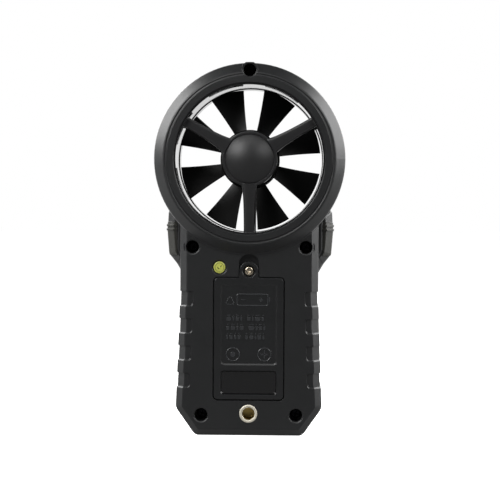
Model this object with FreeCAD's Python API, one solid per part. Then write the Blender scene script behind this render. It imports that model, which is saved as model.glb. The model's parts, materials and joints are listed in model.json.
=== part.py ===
import FreeCAD, Part

"""Handheld vane weather meter: a moulded two-piece housing with a wind duct in its round head, an
eight-blade impeller on miniature ball bearings between two three-legged spiders, and a body that holds the
battery, the circuit board, the display and five keys. Millimetres. X runs across, +Y towards the display
face, +Z up the long axis. The origin is on the flat base, in the middle of the object's width and depth."""

import math
import os

V = FreeCAD.Vector
Y_AXIS = V(0, 1, 0)

# ---- driving dimensions: outline seen along Y ----
head_z = 122.8            # height of the wind axis above the base
head_r = 42.2             # outer radius of the round head
base_half = 23.9          # half width of the flat base
waist_half = 32.55        # half width at the widest, above the base corners
waist_z = 12.2
neck_half = 30.65         # half width where the body runs up into the head
neck_z = 66.0
shoulder_half = 36.3      # half width of the shoulders beside the head
pad_half = 37.4           # and of the raised pad on each that holds the vent
wall = 2.0                # general wall of both shells

# ---- driving dimensions: stations along Y ----
depth_half = 19.0         # the head's two ring faces
back_y = -13.5            # the body's back
parting_y = -2.0          # where the two shells meet
front_y = 16.0            # the body's front
# softened bevel of the body's edges, as pairs of inset and depth
edge_profile = ((3.35, 0.0), (2.95, 0.12), (0.35, 3.0), (0.1, 3.35), (0.0, 3.8))

# ---- wind duct ----
duct_r = 32.75
duct_wall = 1.15
ring_bore_r = 32.4        # bore of each spider's ring
seat_r = 34.0             # the shells' bore round the duct
lip_r = 33.1              # and of the lip that holds a spider's ring in
lip_y = 18.25             # inner face of that lip
seat_tube_r = 36.0        # outside of the shells' inner tube
duct_half = 10.0
spider_face_y = 18.2      # ring face of each spider, from the middle
hub_r = 12.2
cap_r = 10.8
hub_face_y = 15.6
hub_inner_y = 8.2
leg_face_y = 16.0
leg_inner_y = 12.8
leg_angles = (30.0, 150.0, 270.0)

# ---- rotor ----
blade_count = 8
blade_phase = 19.8        # angle of the first blade from +X
blade_tip_r = 31.7
blade_tip_arc = 27.8      # degrees of the circle that a blade's tip covers
blade_root_arc = 23.0
blade_tip_depth = 10.0
blade_root_depth = 9.0
blade_t = 0.9
rotor_hub_r = 13.2
rotor_hub_half = 6.5
spindle_r = 1.0
bearing_outer_r = 3.0
bearing_y = 9.8           # near face of each bearing, from the middle
bearing_w = 2.5
ball_r = 0.45
ball_ring_r = 2.05
ball_count = 7
ball_gap = 0.02
sensor_r = 8.5            # distance of the magnets and the pickup from the axis

# ---- case screws: (x, z), the first one on the head's rim ----
rim_screw = (0.0, 161.6)
rim_boss_y = -17.6
body_screws = ((-25.1, 83.9), (25.1, 83.9), (-21.0, 9.5), (21.0, 9.5))
well_r = 2.9
rim_well_r = 2.8
well_mouth = (0.55, 0.4)  # how far a well's mouth opens, and over what depth
well_floor_y = -4.2
well_wall = 1.15
boss_r = 3.4
screw_r = 1.35
screw_head_r = 2.6

# ---- battery cover on the back ----
cover_half = 15.65
cover_low_z = 16.1
cover_high_z = 70.5
cover_t = 1.8
cover_gap = 0.25
tab_z = 73.3
tab_r = 4.35
tab_t = 2.8
notch_z = 76.3            # centre of the finger notch above the tab
notch_r = 4.6
hook_x = (-9.0, 9.0)
hook_half = 2.5

# ---- details on the back ----
tripod_z = 10.1
tripod_r = 4.0
tripod_bore_r = 2.55      # crest of a 1/4 inch camera thread
tripod_len = 8.0
seal_x, seal_z = -13.1, 74.9
seal_recess_r = 3.15
grip_low_z = 21.35
grip_pitch = 12.05
grip_h = 6.7
grip_in_back = 6.2        # how far a grip notch reaches in from the side, on the back
grip_in_front = 4.6       # and on the front
grip_depth = 0.5
grip_ledge = 0.55         # height of the sloping ledge at a notch's foot
grip_count = 4

# ---- side vents ----
vent_low_z, vent_high_z = 79.8, 94.8
vent_ribs_z = (90.9, 92.8)
vent_slots = 5

# ---- front ----
fascia_half = 24.5
fascia_low_z, fascia_high_z = 7.5, 77.3
fascia_t = 1.0
display_z = 61.5
window_half, window_high = 21.0, 27.0
lcd_half, lcd_high = 22.6, 32.0
key_rows = {"key_hold": (-13.2, 36.0), "key_light": (13.2, 36.0), "key_units": (-13.2, 18.4),
            "key_range": (13.2, 18.4)}
key_w, key_h = 15.0, 7.6
power_z, power_r = 27.2, 5.2
key_top_y = 17.1
key_travel = 0.8
key_gap = 0.25
board_y = 7.1
board_t = 1.2
board_half = 27.4
board_low_z, board_high_z = 13.6, 78.4
board_screws = ((-25.0, 17.4), (25.0, 17.4), (-25.0, 41.2), (25.0, 41.2))


# ---------------------------------------------------------------- helpers
def cyl(x, z, r, y0, y1):
    """A round bar along Y."""
    return Part.makeCylinder(r, y1 - y0, V(x, y0, z), Y_AXIS)


def box(x0, x1, y0, y1, z0, z1):
    return Part.makeBox(x1 - x0, y1 - y0, z1 - z0, V(x0, y0, z0))


def ring(x, z, r0, r1, y0, y1):
    return cyl(x, z, r1, y0, y1).cut(cyl(x, z, r0, y0 - 1, y1 + 1))


def turned(points, x=0.0, z=head_z):
    """A solid of revolution about a line along Y through (x, z), from (radius, y) corners."""
    wire = Part.makePolygon([V(x + r, y, z) for r, y in points] + [V(x + points[0][0], points[0][1], z)])
    return Part.Face(wire).revolve(V(x, 0, z), Y_AXIS, 360)


def inset_corners(corners, inset):
    """Moves every edge of a counterclockwise outline of (x, z, radius) corners inwards by inset."""
    n = len(corners)
    moved = []
    for i in range(n):
        px, pz, _ = corners[i - 1]
        cx, cz, r = corners[i]
        nx, nz, _ = corners[(i + 1) % n]
        ax, az, bx, bz = cx - px, cz - pz, nx - cx, nz - cz
        la, lb = math.hypot(ax, az), math.hypot(bx, bz)
        ax, az, bx, bz = ax / la, az / la, bx / lb, bz / lb
        cross = ax * bz - az * bx
        k = inset / (1 + ax * bx + az * bz)
        # the corner moves along the sum of the two inward normals
        if r and cross > 0:
            r = max(r - inset, 0.25)
        moved.append((cx + k * (-az - bz), cz + k * (ax + bx), r))
    return moved


def outline_wire(corners, y):
    """A closed wire at height y along Y, with each corner rounded by its own radius."""
    n = len(corners)
    edges, starts, ends = [], [], []
    arcs = []
    for i in range(n):
        px, pz, _ = corners[i - 1]
        cx, cz, r = corners[i]
        nx, nz, _ = corners[(i + 1) % n]
        c = V(cx, y, cz)
        if not r:
            starts.append(c)
            ends.append(c)
            arcs.append(None)
            continue
        a = (V(px, y, pz) - c).normalize()
        b = (V(nx, y, nz) - c).normalize()
        half = math.acos(max(-1.0, min(1.0, a.dot(b)))) / 2
        reach = r / math.tan(half)
        bis = (a + b).normalize()
        mid = c + bis * (r / math.sin(half) - r)
        starts.append(c + a * reach)
        ends.append(c + b * reach)
        arcs.append(Part.Arc(c + a * reach, mid, c + b * reach).toShape())
    for i in range(n):
        if arcs[i]:
            edges.append(arcs[i])
        edges.append(Part.LineSegment(ends[i], starts[(i + 1) % n]).toShape())
    return Part.Wire(edges)


def slab(corners, y0, y1):
    """A rounded outline carried straight along Y."""
    return Part.Face(outline_wire(corners, y0)).extrude(V(0, y1 - y0, 0))


def stepped(corners, y_flat, inward, profile, extra=0.0):
    """The edge of a slab as lofts through (inset, depth) sections, from its flat face at y_flat and running
    inward."""
    sections = [(extra + inset, y_flat + inward * depth) for inset, depth in profile]
    lofts = []
    for (i0, y0), (i1, y1) in zip(sections, sections[1:]):
        wires = [outline_wire(inset_corners(corners, i0) if i0 else corners, y0),
                 outline_wire(inset_corners(corners, i1) if i1 else corners, y1)]
        lofts.append(Part.makeLoft(wires, True, True))
    return lofts


def rect(x0, x1, z0, z1, r):
    return [(x0, z0, r), (x1, z0, r), (x1, z1, r), (x0, z1, r)]


def mirrored_x(shape):
    return shape.mirror(V(0, 0, 0), V(1, 0, 0))


def mirrored_y(shape):
    return shape.mirror(V(0, 0, 0), V(0, 1, 0))


def polar(r, degrees):
    """A point (x, z) on a circle round the wind axis."""
    a = math.radians(degrees)
    return r * math.cos(a), head_z + r * math.sin(a)


def save(name, shape):
    solids = shape.Solids
    for s in solids:
        if not s.isValid() or s.Volume <= 0:
            print("CHECK", name, s.isValid(), s.Volume)
    out = solids[0] if len(solids) == 1 else Part.makeCompound(solids)
    out.exportStep(os.path.join("parts", name + ".step"))
    print(f"{name}: {len(solids)} solid(s), {sum(s.Volume for s in solids):.1f} mm3")


# ---------------------------------------------------------------- outlines
body_corners = [(-base_half, 0, 3.5), (base_half, 0, 3.5), (waist_half, waist_z, 5.0),
                (neck_half, neck_z, 60.0),
                (neck_half, head_z - 22, 0), (-neck_half, head_z - 22, 0), (-neck_half, neck_z, 60.0),
                (-waist_half, waist_z, 5.0)]
shoulder_corners = [(10.0, 66.0, 0), (29.4, 69.4, 0), (33.8, 77.0, 6.0), (shoulder_half, 81.4, 6.0),
                    (shoulder_half, 106.0, 0), (10.0, 106.0, 0)]
pad_corners = [(20.0, 75.8, 0), (33.0, 75.8, 1.0), (36.5, 80.2, 3.0), (pad_half, 91.4, 20.0),
               (36.9, 100.4, 1.5), (20.0, 100.4, 0)]
shoulder_profile = ((4.4, 0.0), (4.0, 0.25), (0.6, 4.2), (0.15, 5.2), (0.0, 6.2))
pad_profile = ((3.4, 0.0), (3.15, 0.15), (0.45, 3.3), (0.12, 3.9), (0.0, 4.6))


def body_block(y_back, y_front, inset=0.0, bevel_back=True, bevel_front=False):
    """The body's outer form between two stations, with its bevelled back or front edge, grown inwards by
    inset."""
    corners = inset_corners(body_corners, inset) if inset else body_corners
    y0, y1 = y_back, y_front
    depth = edge_profile[-1][1]
    pieces = []
    if bevel_back:
        pieces += stepped(body_corners, y0, 1, edge_profile, inset)
        y0 += depth
    if bevel_front:
        pieces += stepped(body_corners, y1, -1, edge_profile, inset)
        y1 -= depth
    block = slab(corners, y0, y1)
    return block.multiFuse(pieces) if pieces else block


def flank_block(corners, profile, y_back, y_front, side, inset=0.0):
    """A form beside the head, softened at its back and front ends, on the side given by the sign of side."""
    depth = profile[-1][1]
    pieces = stepped(corners, y_back, 1, profile, inset) + stepped(corners, y_front, -1, profile, inset)
    middle = inset_corners(corners, inset) if inset else corners
    block = slab(middle, y_back + depth, y_front - depth).multiFuse(pieces)
    return block if side > 0 else mirrored_x(block)


def shoulder_block(side, inset=0.0):
    """The flare of the front shell beside the head."""
    return flank_block(shoulder_corners, shoulder_profile, parting_y + inset, 13.6 - inset, side, inset)


def pad_block(side, inset=0.0):
    """The raised pad on a shoulder; a negative inset makes it stand out further."""
    return flank_block(pad_corners, pad_profile, -1.2 + inset, 11.8 - inset, side, inset)


def ring_form(y_meet):
    """The head's moulded rim, from its ring face at the back to the station y_meet: a flat inner ring with
    an eased lip, a groove, a rounded ridge and a broad outer bevel."""
    f = -depth_half
    groove = [(36.2, f), (36.5, f + 0.45), (36.9, f + 0.6), (37.15, f + 0.5)]
    ridge = [(37.35, f + 0.34), (37.6, f + 0.36), (37.95, f + 0.55), (38.3, f + 0.85)]
    bevel = [(head_r - 0.75, -14.85), (head_r - 0.22, -14.25), (head_r, -13.5), (head_r, y_meet)]
    return turned([(lip_r, y_meet), (lip_r, f + 0.45), (lip_r + 0.4, f)] + groove + ridge + bevel)


def rim_boss(y0, y1):
    """The boss round the screw at the top of the head, kept inside the head's outline."""
    return cyl(rim_screw[0], rim_screw[1], rim_well_r + 0.95, y0, y1).common(cyl(0, head_z, head_r, y0, y1))


def rim_cavity(y_meet):
    """The hollow inside the rim, between the inner tube and the outer wall."""
    return turned([(seat_tube_r, y_meet), (seat_tube_r, -16.4), (37.6, -16.4), (head_r - wall, -13.2),
                   (head_r - wall, y_meet)])


def head_foot(face_y, outward):
    """The small fillet round the head's foot, on the flat of the body's back or front face."""
    flat = slab(inset_corners(body_corners, edge_profile[0][0]), -depth_half, depth_half)
    section = [(head_r - 1.0, face_y - outward * 0.5), (head_r - 1.0, face_y + outward * 1.2),
               (head_r, face_y + outward * 0.75), (head_r + 0.45, face_y + outward * 0.3),
               (head_r + 1.1, face_y), (head_r + 1.1, face_y - outward * 0.5)]
    return turned(section).common(flat)


def body_half(z):
    """The body's half width at a height between the waist and the neck."""
    return waist_half + (neck_half - waist_half) * (z - waist_z) / (neck_z - waist_z)


def cross_section(z, y_face, inward, inset):
    """The body's section across Z as a wire, from its face at y_face running inwards, grown inwards by
    inset."""
    half = body_half(z)
    side = [(half - i, d) for i, d in edge_profile] + [(half, 20.0)]
    loop = side + [(-x, d) for x, d in reversed(side)]
    vs = [V(x, y_face + inward * d, z) for x, d, _ in inset_corners([(x, d, 0) for x, d in loop], inset)]
    return Part.makePolygon(vs + [vs[0]])


def grip_notches(y_face, inward, y_end, reach):
    """The finger notches of one shell, from its face at y_face inwards to y_end, as the volume to remove.

    Each is cut to an even depth all round the bevelled edge, with a rounded inner wall that slopes on the
    face and a sloping ledge at its foot."""
    bevelled = {"bevel_back": inward > 0, "bevel_front": inward < 0}
    deep = y_face + inward * grip_depth
    core = body_block(min(deep, y_end + inward), max(deep, y_end + inward), grip_depth, **bevelled)
    cuts = []
    for i in range(grip_count):
        z0 = grip_low_z + i * grip_pitch
        z1 = z0 + grip_h
        half = body_half((z0 + z1) / 2)
        foot = cross_section(z0, y_face, inward, 0.0)
        ledge_top = cross_section(z0 + grip_ledge, y_face, inward, grip_depth + 0.02)
        ledge = Part.makeLoft([foot, ledge_top], True, True)
        inner, outer = half - reach, half + 4
        mouth = [(inner, z0, 1.5), (outer, z0, 0), (outer, z1, 0), (inner, z1, 0.7)]
        floor = [(inner + 0.5, z0, 1.9), (outer, z0, 0), (outer, z1, 0), (inner + 0.2, z1, 0.7)]
        outside = sorted((y_face - inward, y_face))
        below = sorted((deep, y_end))
        slope = Part.makeLoft([outline_wire(mouth, y_face), outline_wire(floor, deep)], True, True)
        cut = slab(mouth, *outside).multiFuse([slope, slab(floor, *below)]).cut(core).cut(ledge)
        cuts += [cut, mirrored_x(cut)]
    return cuts[0].multiFuse(cuts[1:])


# ---------------------------------------------------------------- housing
def well_cut(x, z, r, y_mouth):
    """A screw well's bore, its eased mouth and the hole in its floor."""
    opening, depth = well_mouth
    mouth = Part.makeCone(r + opening, r, depth, V(x, y_mouth, z), Y_AXIS)
    outside = cyl(x, z, r + opening, y_mouth - 3, y_mouth)
    floor_hole = cyl(x, z, screw_r + 0.25, well_floor_y - 1, 0)
    return cyl(x, z, r, y_mouth - 3, well_floor_y).multiFuse([mouth, outside, floor_hole])


def rear_shell():
    """Back half of the housing: body back, the rim's back half, five screw wells and the battery box."""
    body = body_block(back_y, parting_y)
    foot = head_foot(back_y, -1)
    rim = ring_form(parting_y)
    shell = body.fuse([rim, foot, rim_boss(rim_boss_y, parting_y)])
    shell = shell.cut(cyl(0, head_z, seat_r, -lip_y, 10).fuse(cyl(0, head_z, lip_r, -depth_half - 1, 0)))
    shell = shell.cut(grip_notches(back_y, 1, parting_y + 1, grip_in_back))
    # hollow out the body and the rim
    hollow = body_block(back_y + wall, 30, wall).cut(cyl(0, head_z, head_r - wall, -depth_half, 30))
    shell = shell.cut(hollow)
    shell = shell.cut(rim_cavity(30))
    # screw wells, standing up from the back wall
    posts = [cyl(x, z, well_r + well_wall, back_y + 1, parting_y) for x, z in body_screws]
    shell = shell.fuse(posts + [rim_boss(-16, parting_y)])
    for x, z in body_screws:
        shell = shell.cut(well_cut(x, z, well_r, back_y))
    shell = shell.cut(well_cut(rim_screw[0], rim_screw[1], rim_well_r, rim_boss_y))
    # battery box: walls from the back to a floor behind the circuit board
    box_half, low, high, floor_y = 14.9, 14.6, 71.3, 6.9
    shell = shell.fuse(box(-box_half, box_half, back_y + wall - 0.2, floor_y, low, high))
    shell = shell.cut(box(-13.7, 13.7, back_y + wall - 0.5, 6.1, low + 1.2, high - 0.9))
    # tripod boss, and the boss for the cover screw's nut
    above_box = box(-9, 9, back_y + 1, 0, high - 0.5, 90)
    shell = shell.fuse([cyl(0, tripod_z, tripod_r + 1.5, back_y + 1, back_y + tripod_len + 1.2),
                        cyl(0, tab_z, notch_r + 0.9, back_y + 1, -7.6).common(above_box),
                        cyl(0, notch_z, notch_r + 1.0, back_y + 1, back_y + tab_t + 1.1).common(above_box)])
    shell = shell.cut(cyl(0, tripod_z, tripod_r, back_y - 1, back_y - 0.2 + tripod_len))
    # the cover's seat: a ledge all round, the round tab's pocket and the finger notch above it
    seat_half = cover_half + cover_gap
    seat = rect(-seat_half, seat_half, cover_low_z - cover_gap, cover_high_z + cover_gap, 2.2)
    shell = shell.cut(slab(seat, back_y - 1, back_y + cover_t + 0.05))
    shell = shell.cut(slab(rect(-13.7, 13.7, 17.6, 69.4, 1.5), back_y - 1, back_y + 6))
    shell = shell.cut(cyl(0, tab_z, tab_r + cover_gap, back_y - 1, back_y + tab_t + 0.1))
    tab_half = tab_r + cover_gap
    shell = shell.cut(box(-tab_half, tab_half, back_y - 1, back_y + tab_t + 0.1, 69, tab_z))
    shell = shell.cut(cyl(0, notch_z, notch_r, -depth_half, back_y + tab_t + 0.1).common(
        box(-9, 9, -depth_half, 0, tab_z, 90)))
    shell = shell.cut(cyl(0, tab_z, 2.0, back_y, -4))
    # pockets for the cover's two hooks
    for x in hook_x:
        shell = shell.cut(box(x - hook_half - 0.4, x + hook_half + 0.4, back_y + wall, -8.6, 13.3, 19.5))
        shell = shell.cut(box(x - hook_half - 0.4, x + hook_half + 0.4, back_y + wall - 0.8, -8.6,
                              cover_low_z - cover_gap, 19.5))
    # shallow seat for the inspection seal
    shell = shell.cut(cyl(seal_x, seal_z, seal_recess_r, back_y - 1, back_y + 0.9))
    eased = Part.makeCone(seal_recess_r + 0.35, seal_recess_r, 0.35, V(seal_x, back_y, seal_z), Y_AXIS)
    shell = shell.cut(eased)
    # the pickup's cable passes through the inner tube, and the battery leads through the box floor
    shell = shell.cut(box(-1.4, 1.4, -15.0, -12.2, 85.6, head_z - 33.5))
    shell = shell.cut(box(-4.4, 4.4, 0.0, 8.0, 67.0, 70.0))
    return shell


def front_shell():
    """Front half of the housing, with the shoulders, the rim's front half, the display and key openings."""
    body = body_block(parting_y, front_y, bevel_back=False, bevel_front=True)
    foot = head_foot(front_y, 1)
    rim = mirrored_y(ring_form(-parting_y))
    flanks = [form(side) for form in (shoulder_block, pad_block) for side in (-1, 1)]
    shell = body.fuse([rim, foot] + flanks)
    shell = shell.fuse(rim_boss(parting_y, 14.0))
    shell = shell.cut(cyl(0, head_z, seat_r, -10, lip_y).fuse(cyl(0, head_z, lip_r, 0, depth_half + 1)))
    shell = shell.cut(grip_notches(front_y, -1, parting_y - 1, grip_in_front))
    # hollows of the body, the shoulders and the rim
    inner = body_block(-20, front_y - fascia_t - wall, wall, bevel_back=False, bevel_front=True)
    shell = shell.cut(inner.cut(cyl(0, head_z, head_r - wall, -30, 30)))
    for side in (-1, 1):
        deep_part = box(side * 20 - 9, side * 20 + 9, parting_y - 1, 9.0, 72.0, 100.0)
        hollow = shoulder_block(side, wall).fuse(deep_part)
        shell = shell.cut(hollow.cut(cyl(0, head_z, head_r - wall, -30, 30)))
    shell = shell.cut(mirrored_y(rim_cavity(40)).common(box(-60, 60, parting_y - 1, 30, 0, 200)))
    # bosses for the case screws and the circuit board
    posts = [cyl(x, z, boss_r, parting_y, front_y - fascia_t - 1.0) for x, z in body_screws]
    posts.append(cyl(rim_screw[0], rim_screw[1], boss_r, parting_y, 13.5).common(
        ring(0, head_z, seat_r + 0.3, head_r, -10, 20)))
    posts += [cyl(x, z, 2.2, board_y + board_t, front_y - fascia_t - 1.0) for x, z in board_screws]
    shell = shell.fuse(posts)
    for x, z in body_screws + (rim_screw,):
        shell = shell.cut(cyl(x, z, screw_r + 0.03, parting_y - 1, 8.0))
    for x, z in board_screws:
        shell = shell.cut(cyl(x, z, 1.03, board_y, 13.0))
    # the fascia's recess, then the display and key openings
    half = fascia_half + 0.15
    recess = rect(-half, half, fascia_low_z - 0.15, fascia_high_z + 0.15, 4.15)
    shell = shell.cut(slab(recess, front_y - fascia_t, depth_half + 1))
    shell = shell.cut(slab(window_outline(0.2, 1.7), 5, 20))
    for x, z in key_rows.values():
        shell = shell.cut(slab(key_outline(x, z, key_gap), 5, 20))
    shell = shell.cut(cyl(0, power_z, power_r + key_gap, 5, 20))
    # seats for the side vents, and the room behind them
    for side in (-1, 1):
        x = side * 31.2
        shell = shell.cut(vent_form(side, 0.1))
        shell = shell.cut(box(x - 2.5, x + 2.5, 0.4, 9.0, vent_low_z + 0.8, vent_high_z - 0.6))
    return shell


def vent_form(side, gap=0.0):
    """A side vent's outer form: the outer part of the pad, standing a little proud of it, grown by gap."""
    seat = box(32.7 - gap, 60, -5, 9.6 + gap, vent_low_z - gap, vent_high_z + gap)
    form = pad_block(1, -0.15 - gap).common(seat)
    return form if side > 0 else mirrored_x(form)


def side_vent(side):
    """A louvred vent cover: a hollow shell with slots through its side and two ribs round its top end."""
    room = box(0, 60, 0, 20, vent_low_z + 1.0, vent_high_z - 1.0)
    inner = slab(inset_corners(pad_corners, 1.1), 2.8, 8.4).common(room)
    form = vent_form(1).cut(inner)
    for i in range(vent_slots):
        z = vent_low_z + 2.2 + 1.6 * i
        form = form.cut(box(34.6, 60, 3.2, 8.0, z, z + 0.75))
    ribs = pad_block(1, -0.5).cut(inner)
    for z in vent_ribs_z:
        form = form.fuse(ribs.common(box(32.8, 60, -5, 9.4, z, z + 0.9)))
    return form if side > 0 else mirrored_x(form)


def case_screws():
    """Five self-tapping screws with cross recesses, at the bottoms of their wells."""
    return Part.makeCompound([cross_screw(x, z, screw_head_r, well_floor_y, 1.9, screw_r, 9.5)
                              for x, z in (rim_screw,) + body_screws])


def cross_screw(x, z, head, seat_y, head_t, shank, reach):
    """A pan-head screw driven from -Y, its head seated at seat_y and its shank running forward by reach."""
    top = seat_y - head_t
    dome = turned([(0, top), (head * 0.55, top), (head * 0.86, top + 0.25 * head_t),
                   (head, top + 0.65 * head_t),
                   (head, seat_y), (0, seat_y)], x, z)
    body = dome.fuse(turned([(0, seat_y - 0.1), (shank, seat_y - 0.1), (shank, seat_y + reach - shank),
                             (0.3, seat_y + reach), (0, seat_y + reach)], x, z))
    arm, tip, slot = head * 0.52, head * 0.28, head * 0.11
    mouth = star_wire(x, z, arm, slot * 1.5, top - 0.01)
    foot = star_wire(x, z, tip, slot, top + 0.75 * head_t)
    cross = Part.makeLoft([mouth, foot], True, True)
    return body.cut(cross)


def star_wire(x, z, arm, half, y):
    """A plus-shaped wire for a cross recess."""
    pts = [(arm, -half), (arm, half), (half, half), (half, arm), (-half, arm), (-half, half), (-arm, half),
           (-arm, -half), (-half, -half), (-half, -arm), (half, -arm), (half, -half)]
    vs = [V(x + a, y, z + b) for a, b in pts]
    return Part.makePolygon(vs + [vs[0]])


# ---------------------------------------------------------------- wind duct and rotor
def wind_duct():
    return ring(0, head_z, duct_r, duct_r + duct_wall, -duct_half, duct_half)


def leg_wire(widths, y):
    """A leg's outline along +X from (distance, half width) pairs, at station y."""
    right = [V(r, y, head_z + w) for r, w in widths]
    left = [V(r, y, head_z - w) for r, w in reversed(widths)]
    return Part.makePolygon(right + left + [right[0]])


def spider(with_pickup):
    """The rear spider: a ring, three legs and the hub that seats a bearing. The front one is its mirror."""
    f, h = -spider_face_y, -hub_face_y
    outer_ring = turned([(ring_bore_r, -duct_half), (ring_bore_r, f + 0.25), (ring_bore_r + 0.25, f),
                         (duct_r + duct_wall, f), (duct_r + duct_wall, -duct_half)])
    hub = turned([(0, h), (hub_r - 0.5, h), (hub_r, h + 0.5), (hub_r, -hub_inner_y - 0.4),
                  (hub_r - 0.4, -hub_inner_y), (0, -hub_inner_y)])
    spider_form = outer_ring.fuse(hub)
    for k, angle in enumerate(leg_angles):
        widths = [(8.0, 3.4), (12.0, 3.3), (14.5, 2.75), (18.5, 2.45), (33.4, 2.35)] if k == 2 else \
            [(8.0, 4.2), (12.2, 3.5), (14.5, 3.0), (18.5, 2.6), (25.0, 2.35), (33.4, 2.2)]
        face = [(r, w - 0.4) for r, w in widths]
        leg = Part.makeLoft([leg_wire(face, -leg_face_y), leg_wire(widths, -leg_face_y + 0.5)], True, True)
        root = Part.Face(leg_wire(widths, -leg_face_y + 0.5))
        leg = leg.fuse(root.extrude(V(0, leg_face_y - 0.5 - leg_inner_y, 0)))
        leg.rotate(V(0, 0, head_z), Y_AXIS, -angle)
        spider_form = spider_form.fuse(leg)
    spider_form = spider_form.cut(cyl(0, head_z, 10.0, h - 1, -13.0))
    spider_form = spider_form.cut(cyl(0, head_z, cap_r + 0.1, h - 1, h + 0.6))
    spider_form = spider_form.cut(cyl(0, head_z, bearing_outer_r, -13.1, -bearing_y + 0.05))
    spider_form = spider_form.cut(cyl(0, head_z, 2.35, -11, 0))
    if with_pickup:
        pocket_z = head_z - sensor_r
        spider_form = spider_form.cut(box(-2.1, 2.1, -13.1, -9.2, pocket_z - 1.6, pocket_z + 1.6))
        spider_form = spider_form.cut(box(-0.95, 0.95, -14.5, -12.0, 80, pocket_z))
    return spider_form


def hub_cap():
    """The domed cap over a hub, with a short skirt inside the hub's rim."""
    rise = depth_half - hub_face_y - 0.1
    big = (cap_r ** 2 + rise ** 2) / (2 * rise)
    apex = -depth_half + 0.1
    ball = Part.makeSphere(big, V(0, apex + big, head_z))
    dome = ball.common(cyl(0, head_z, cap_r, -depth_half - 1, -hub_face_y))
    return dome.fuse(cyl(0, head_z, cap_r, -hub_face_y, -hub_face_y + 0.5)).fuse(
        ring(0, head_z, 8.8, 9.95, -hub_face_y, -hub_face_y + 0.9))


def blade_section(r, arc, depth):
    """A blade's straight section across the radius at r, a thin slanted strip."""
    half = r * math.tan(math.radians(arc / 2))
    tilt = math.atan2(depth, 2 * half)
    ox, oy = math.sin(tilt) * blade_t / 2, math.cos(tilt) * blade_t / 2
    ends = [(-half + ox, depth / 2 + oy), (half + ox, -depth / 2 + oy), (half - ox, -depth / 2 - oy),
            (-half - ox, depth / 2 - oy)]
    vs = [V(r, y, head_z + t) for t, y in ends]
    return Part.makePolygon(vs + [vs[0]])


def impeller():
    """Eight pitched blades on a cup-shaped hub with a sleeve for the spindle."""
    h = rotor_hub_half
    r = rotor_hub_r
    hub = turned([(r - 0.8, -h), (r, -h + 0.8), (r, h - 0.8), (r - 0.8, h), (11.6, h), (11.6, -4.9),
                  (2.6, -4.9), (2.6, 5.6), (spindle_r, 5.6), (spindle_r, -h), (2.6, -h)])
    form = hub
    trim = cyl(0, head_z, blade_tip_r, -20, 20)
    for k in range(blade_count):
        blade = Part.makeLoft([blade_section(12.4, blade_root_arc, blade_root_depth),
                               blade_section(blade_tip_r + 1.5, blade_tip_arc, blade_tip_depth)], True, True)
        blade.rotate(V(0, 0, head_z), Y_AXIS, -(blade_phase + 360.0 / blade_count * k))
        form = form.fuse(blade.common(trim))
    for angle in (90, 270):
        x, z = polar(sensor_r, angle)
        form = form.cut(cyl(x, z, 1.5, -h - 1, -h + 1.4))
    return form


def rotor_magnets():
    return Part.makeCompound([cyl(*polar(sensor_r, a), 1.48, -rotor_hub_half + 0.05, -rotor_hub_half + 1.4)
                              for a in (90, 270)])


def spindle():
    end = bearing_y + bearing_w + 0.4
    return turned([(0, -end), (spindle_r - 0.2, -end), (spindle_r, -end + 0.2), (spindle_r, end - 0.2),
                   (spindle_r - 0.2, end), (0, end)])


def spindle_collars():
    """Brass spacers between the impeller's sleeve and each bearing's inner ring."""
    rear = ring(0, head_z, spindle_r, 1.7, -bearing_y, -rotor_hub_half)
    return Part.makeCompound([rear, ring(0, head_z, spindle_r, 1.7, 5.6, bearing_y)])


def bearing_groove(y_mid):
    """The torus that the balls run in, a little larger than the balls."""
    return Part.makeTorus(ball_ring_r, ball_r + ball_gap, V(0, y_mid, head_z), Y_AXIS)


def bearing_rings(side):
    """A bearing's outer ring, inner ring and balls."""
    y0 = bearing_y if side > 0 else -bearing_y - bearing_w
    y1 = y0 + bearing_w
    mid = (y0 + y1) / 2
    groove = bearing_groove(mid)
    outer = ring(0, head_z, 2.36, bearing_outer_r, y0, y1).cut(groove)
    inner = ring(0, head_z, spindle_r, 1.74, y0, y1).cut(groove)
    balls = []
    for k in range(ball_count):
        x, z = polar(ball_ring_r, 360.0 / ball_count * k + 12)
        balls.append(Part.makeSphere(ball_r, V(x, mid, z)))
    return outer, inner, Part.makeCompound(balls)


def speed_pickup():
    """The magnetic sensor under the hub, with its three legs joined to one flat tail."""
    z = head_z - sensor_r
    return box(-2.0, 2.0, -11.0, -9.3, z - 1.5, z + 1.5)


def tube_path(points, radii):
    """Straight runs joined by tangent arcs through (y, z) points at x = 0."""
    vs = [V(0, y, z) for y, z in points]
    edges, last = [], vs[0]
    for i in range(1, len(vs) - 1):
        a = (vs[i - 1] - vs[i]).normalize()
        b = (vs[i + 1] - vs[i]).normalize()
        half = math.acos(a.dot(b)) / 2
        reach = radii[i - 1] / math.tan(half)
        mid = vs[i] + (a + b).normalize() * (radii[i - 1] / math.sin(half) - radii[i - 1])
        edges.append(Part.LineSegment(last, vs[i] + a * reach).toShape())
        edges.append(Part.Arc(vs[i] + a * reach, mid, vs[i] + b * reach).toShape())
        last = vs[i] + b * reach
    edges.append(Part.LineSegment(last, vs[-1]).toShape())
    return Part.Wire(edges)


def pickup_cable():
    """The pickup's thin cable: up from the sensor, down the lower leg's channel and into the body, to the
    board."""
    z = head_z - sensor_r
    points = [(-11.0, z), (-13.6, z), (-13.6, 84.6), (0.5, 84.6), (0.5, 77.0), (board_y, 77.0)]
    path = tube_path(points, [1.3, 2.4, 3.0, 3.0])
    start = Part.Wire(Part.makeCircle(0.8, V(0, -11.0, z), V(0, -1, 0)))
    return path.makePipeShell([start], True, False)


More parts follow.
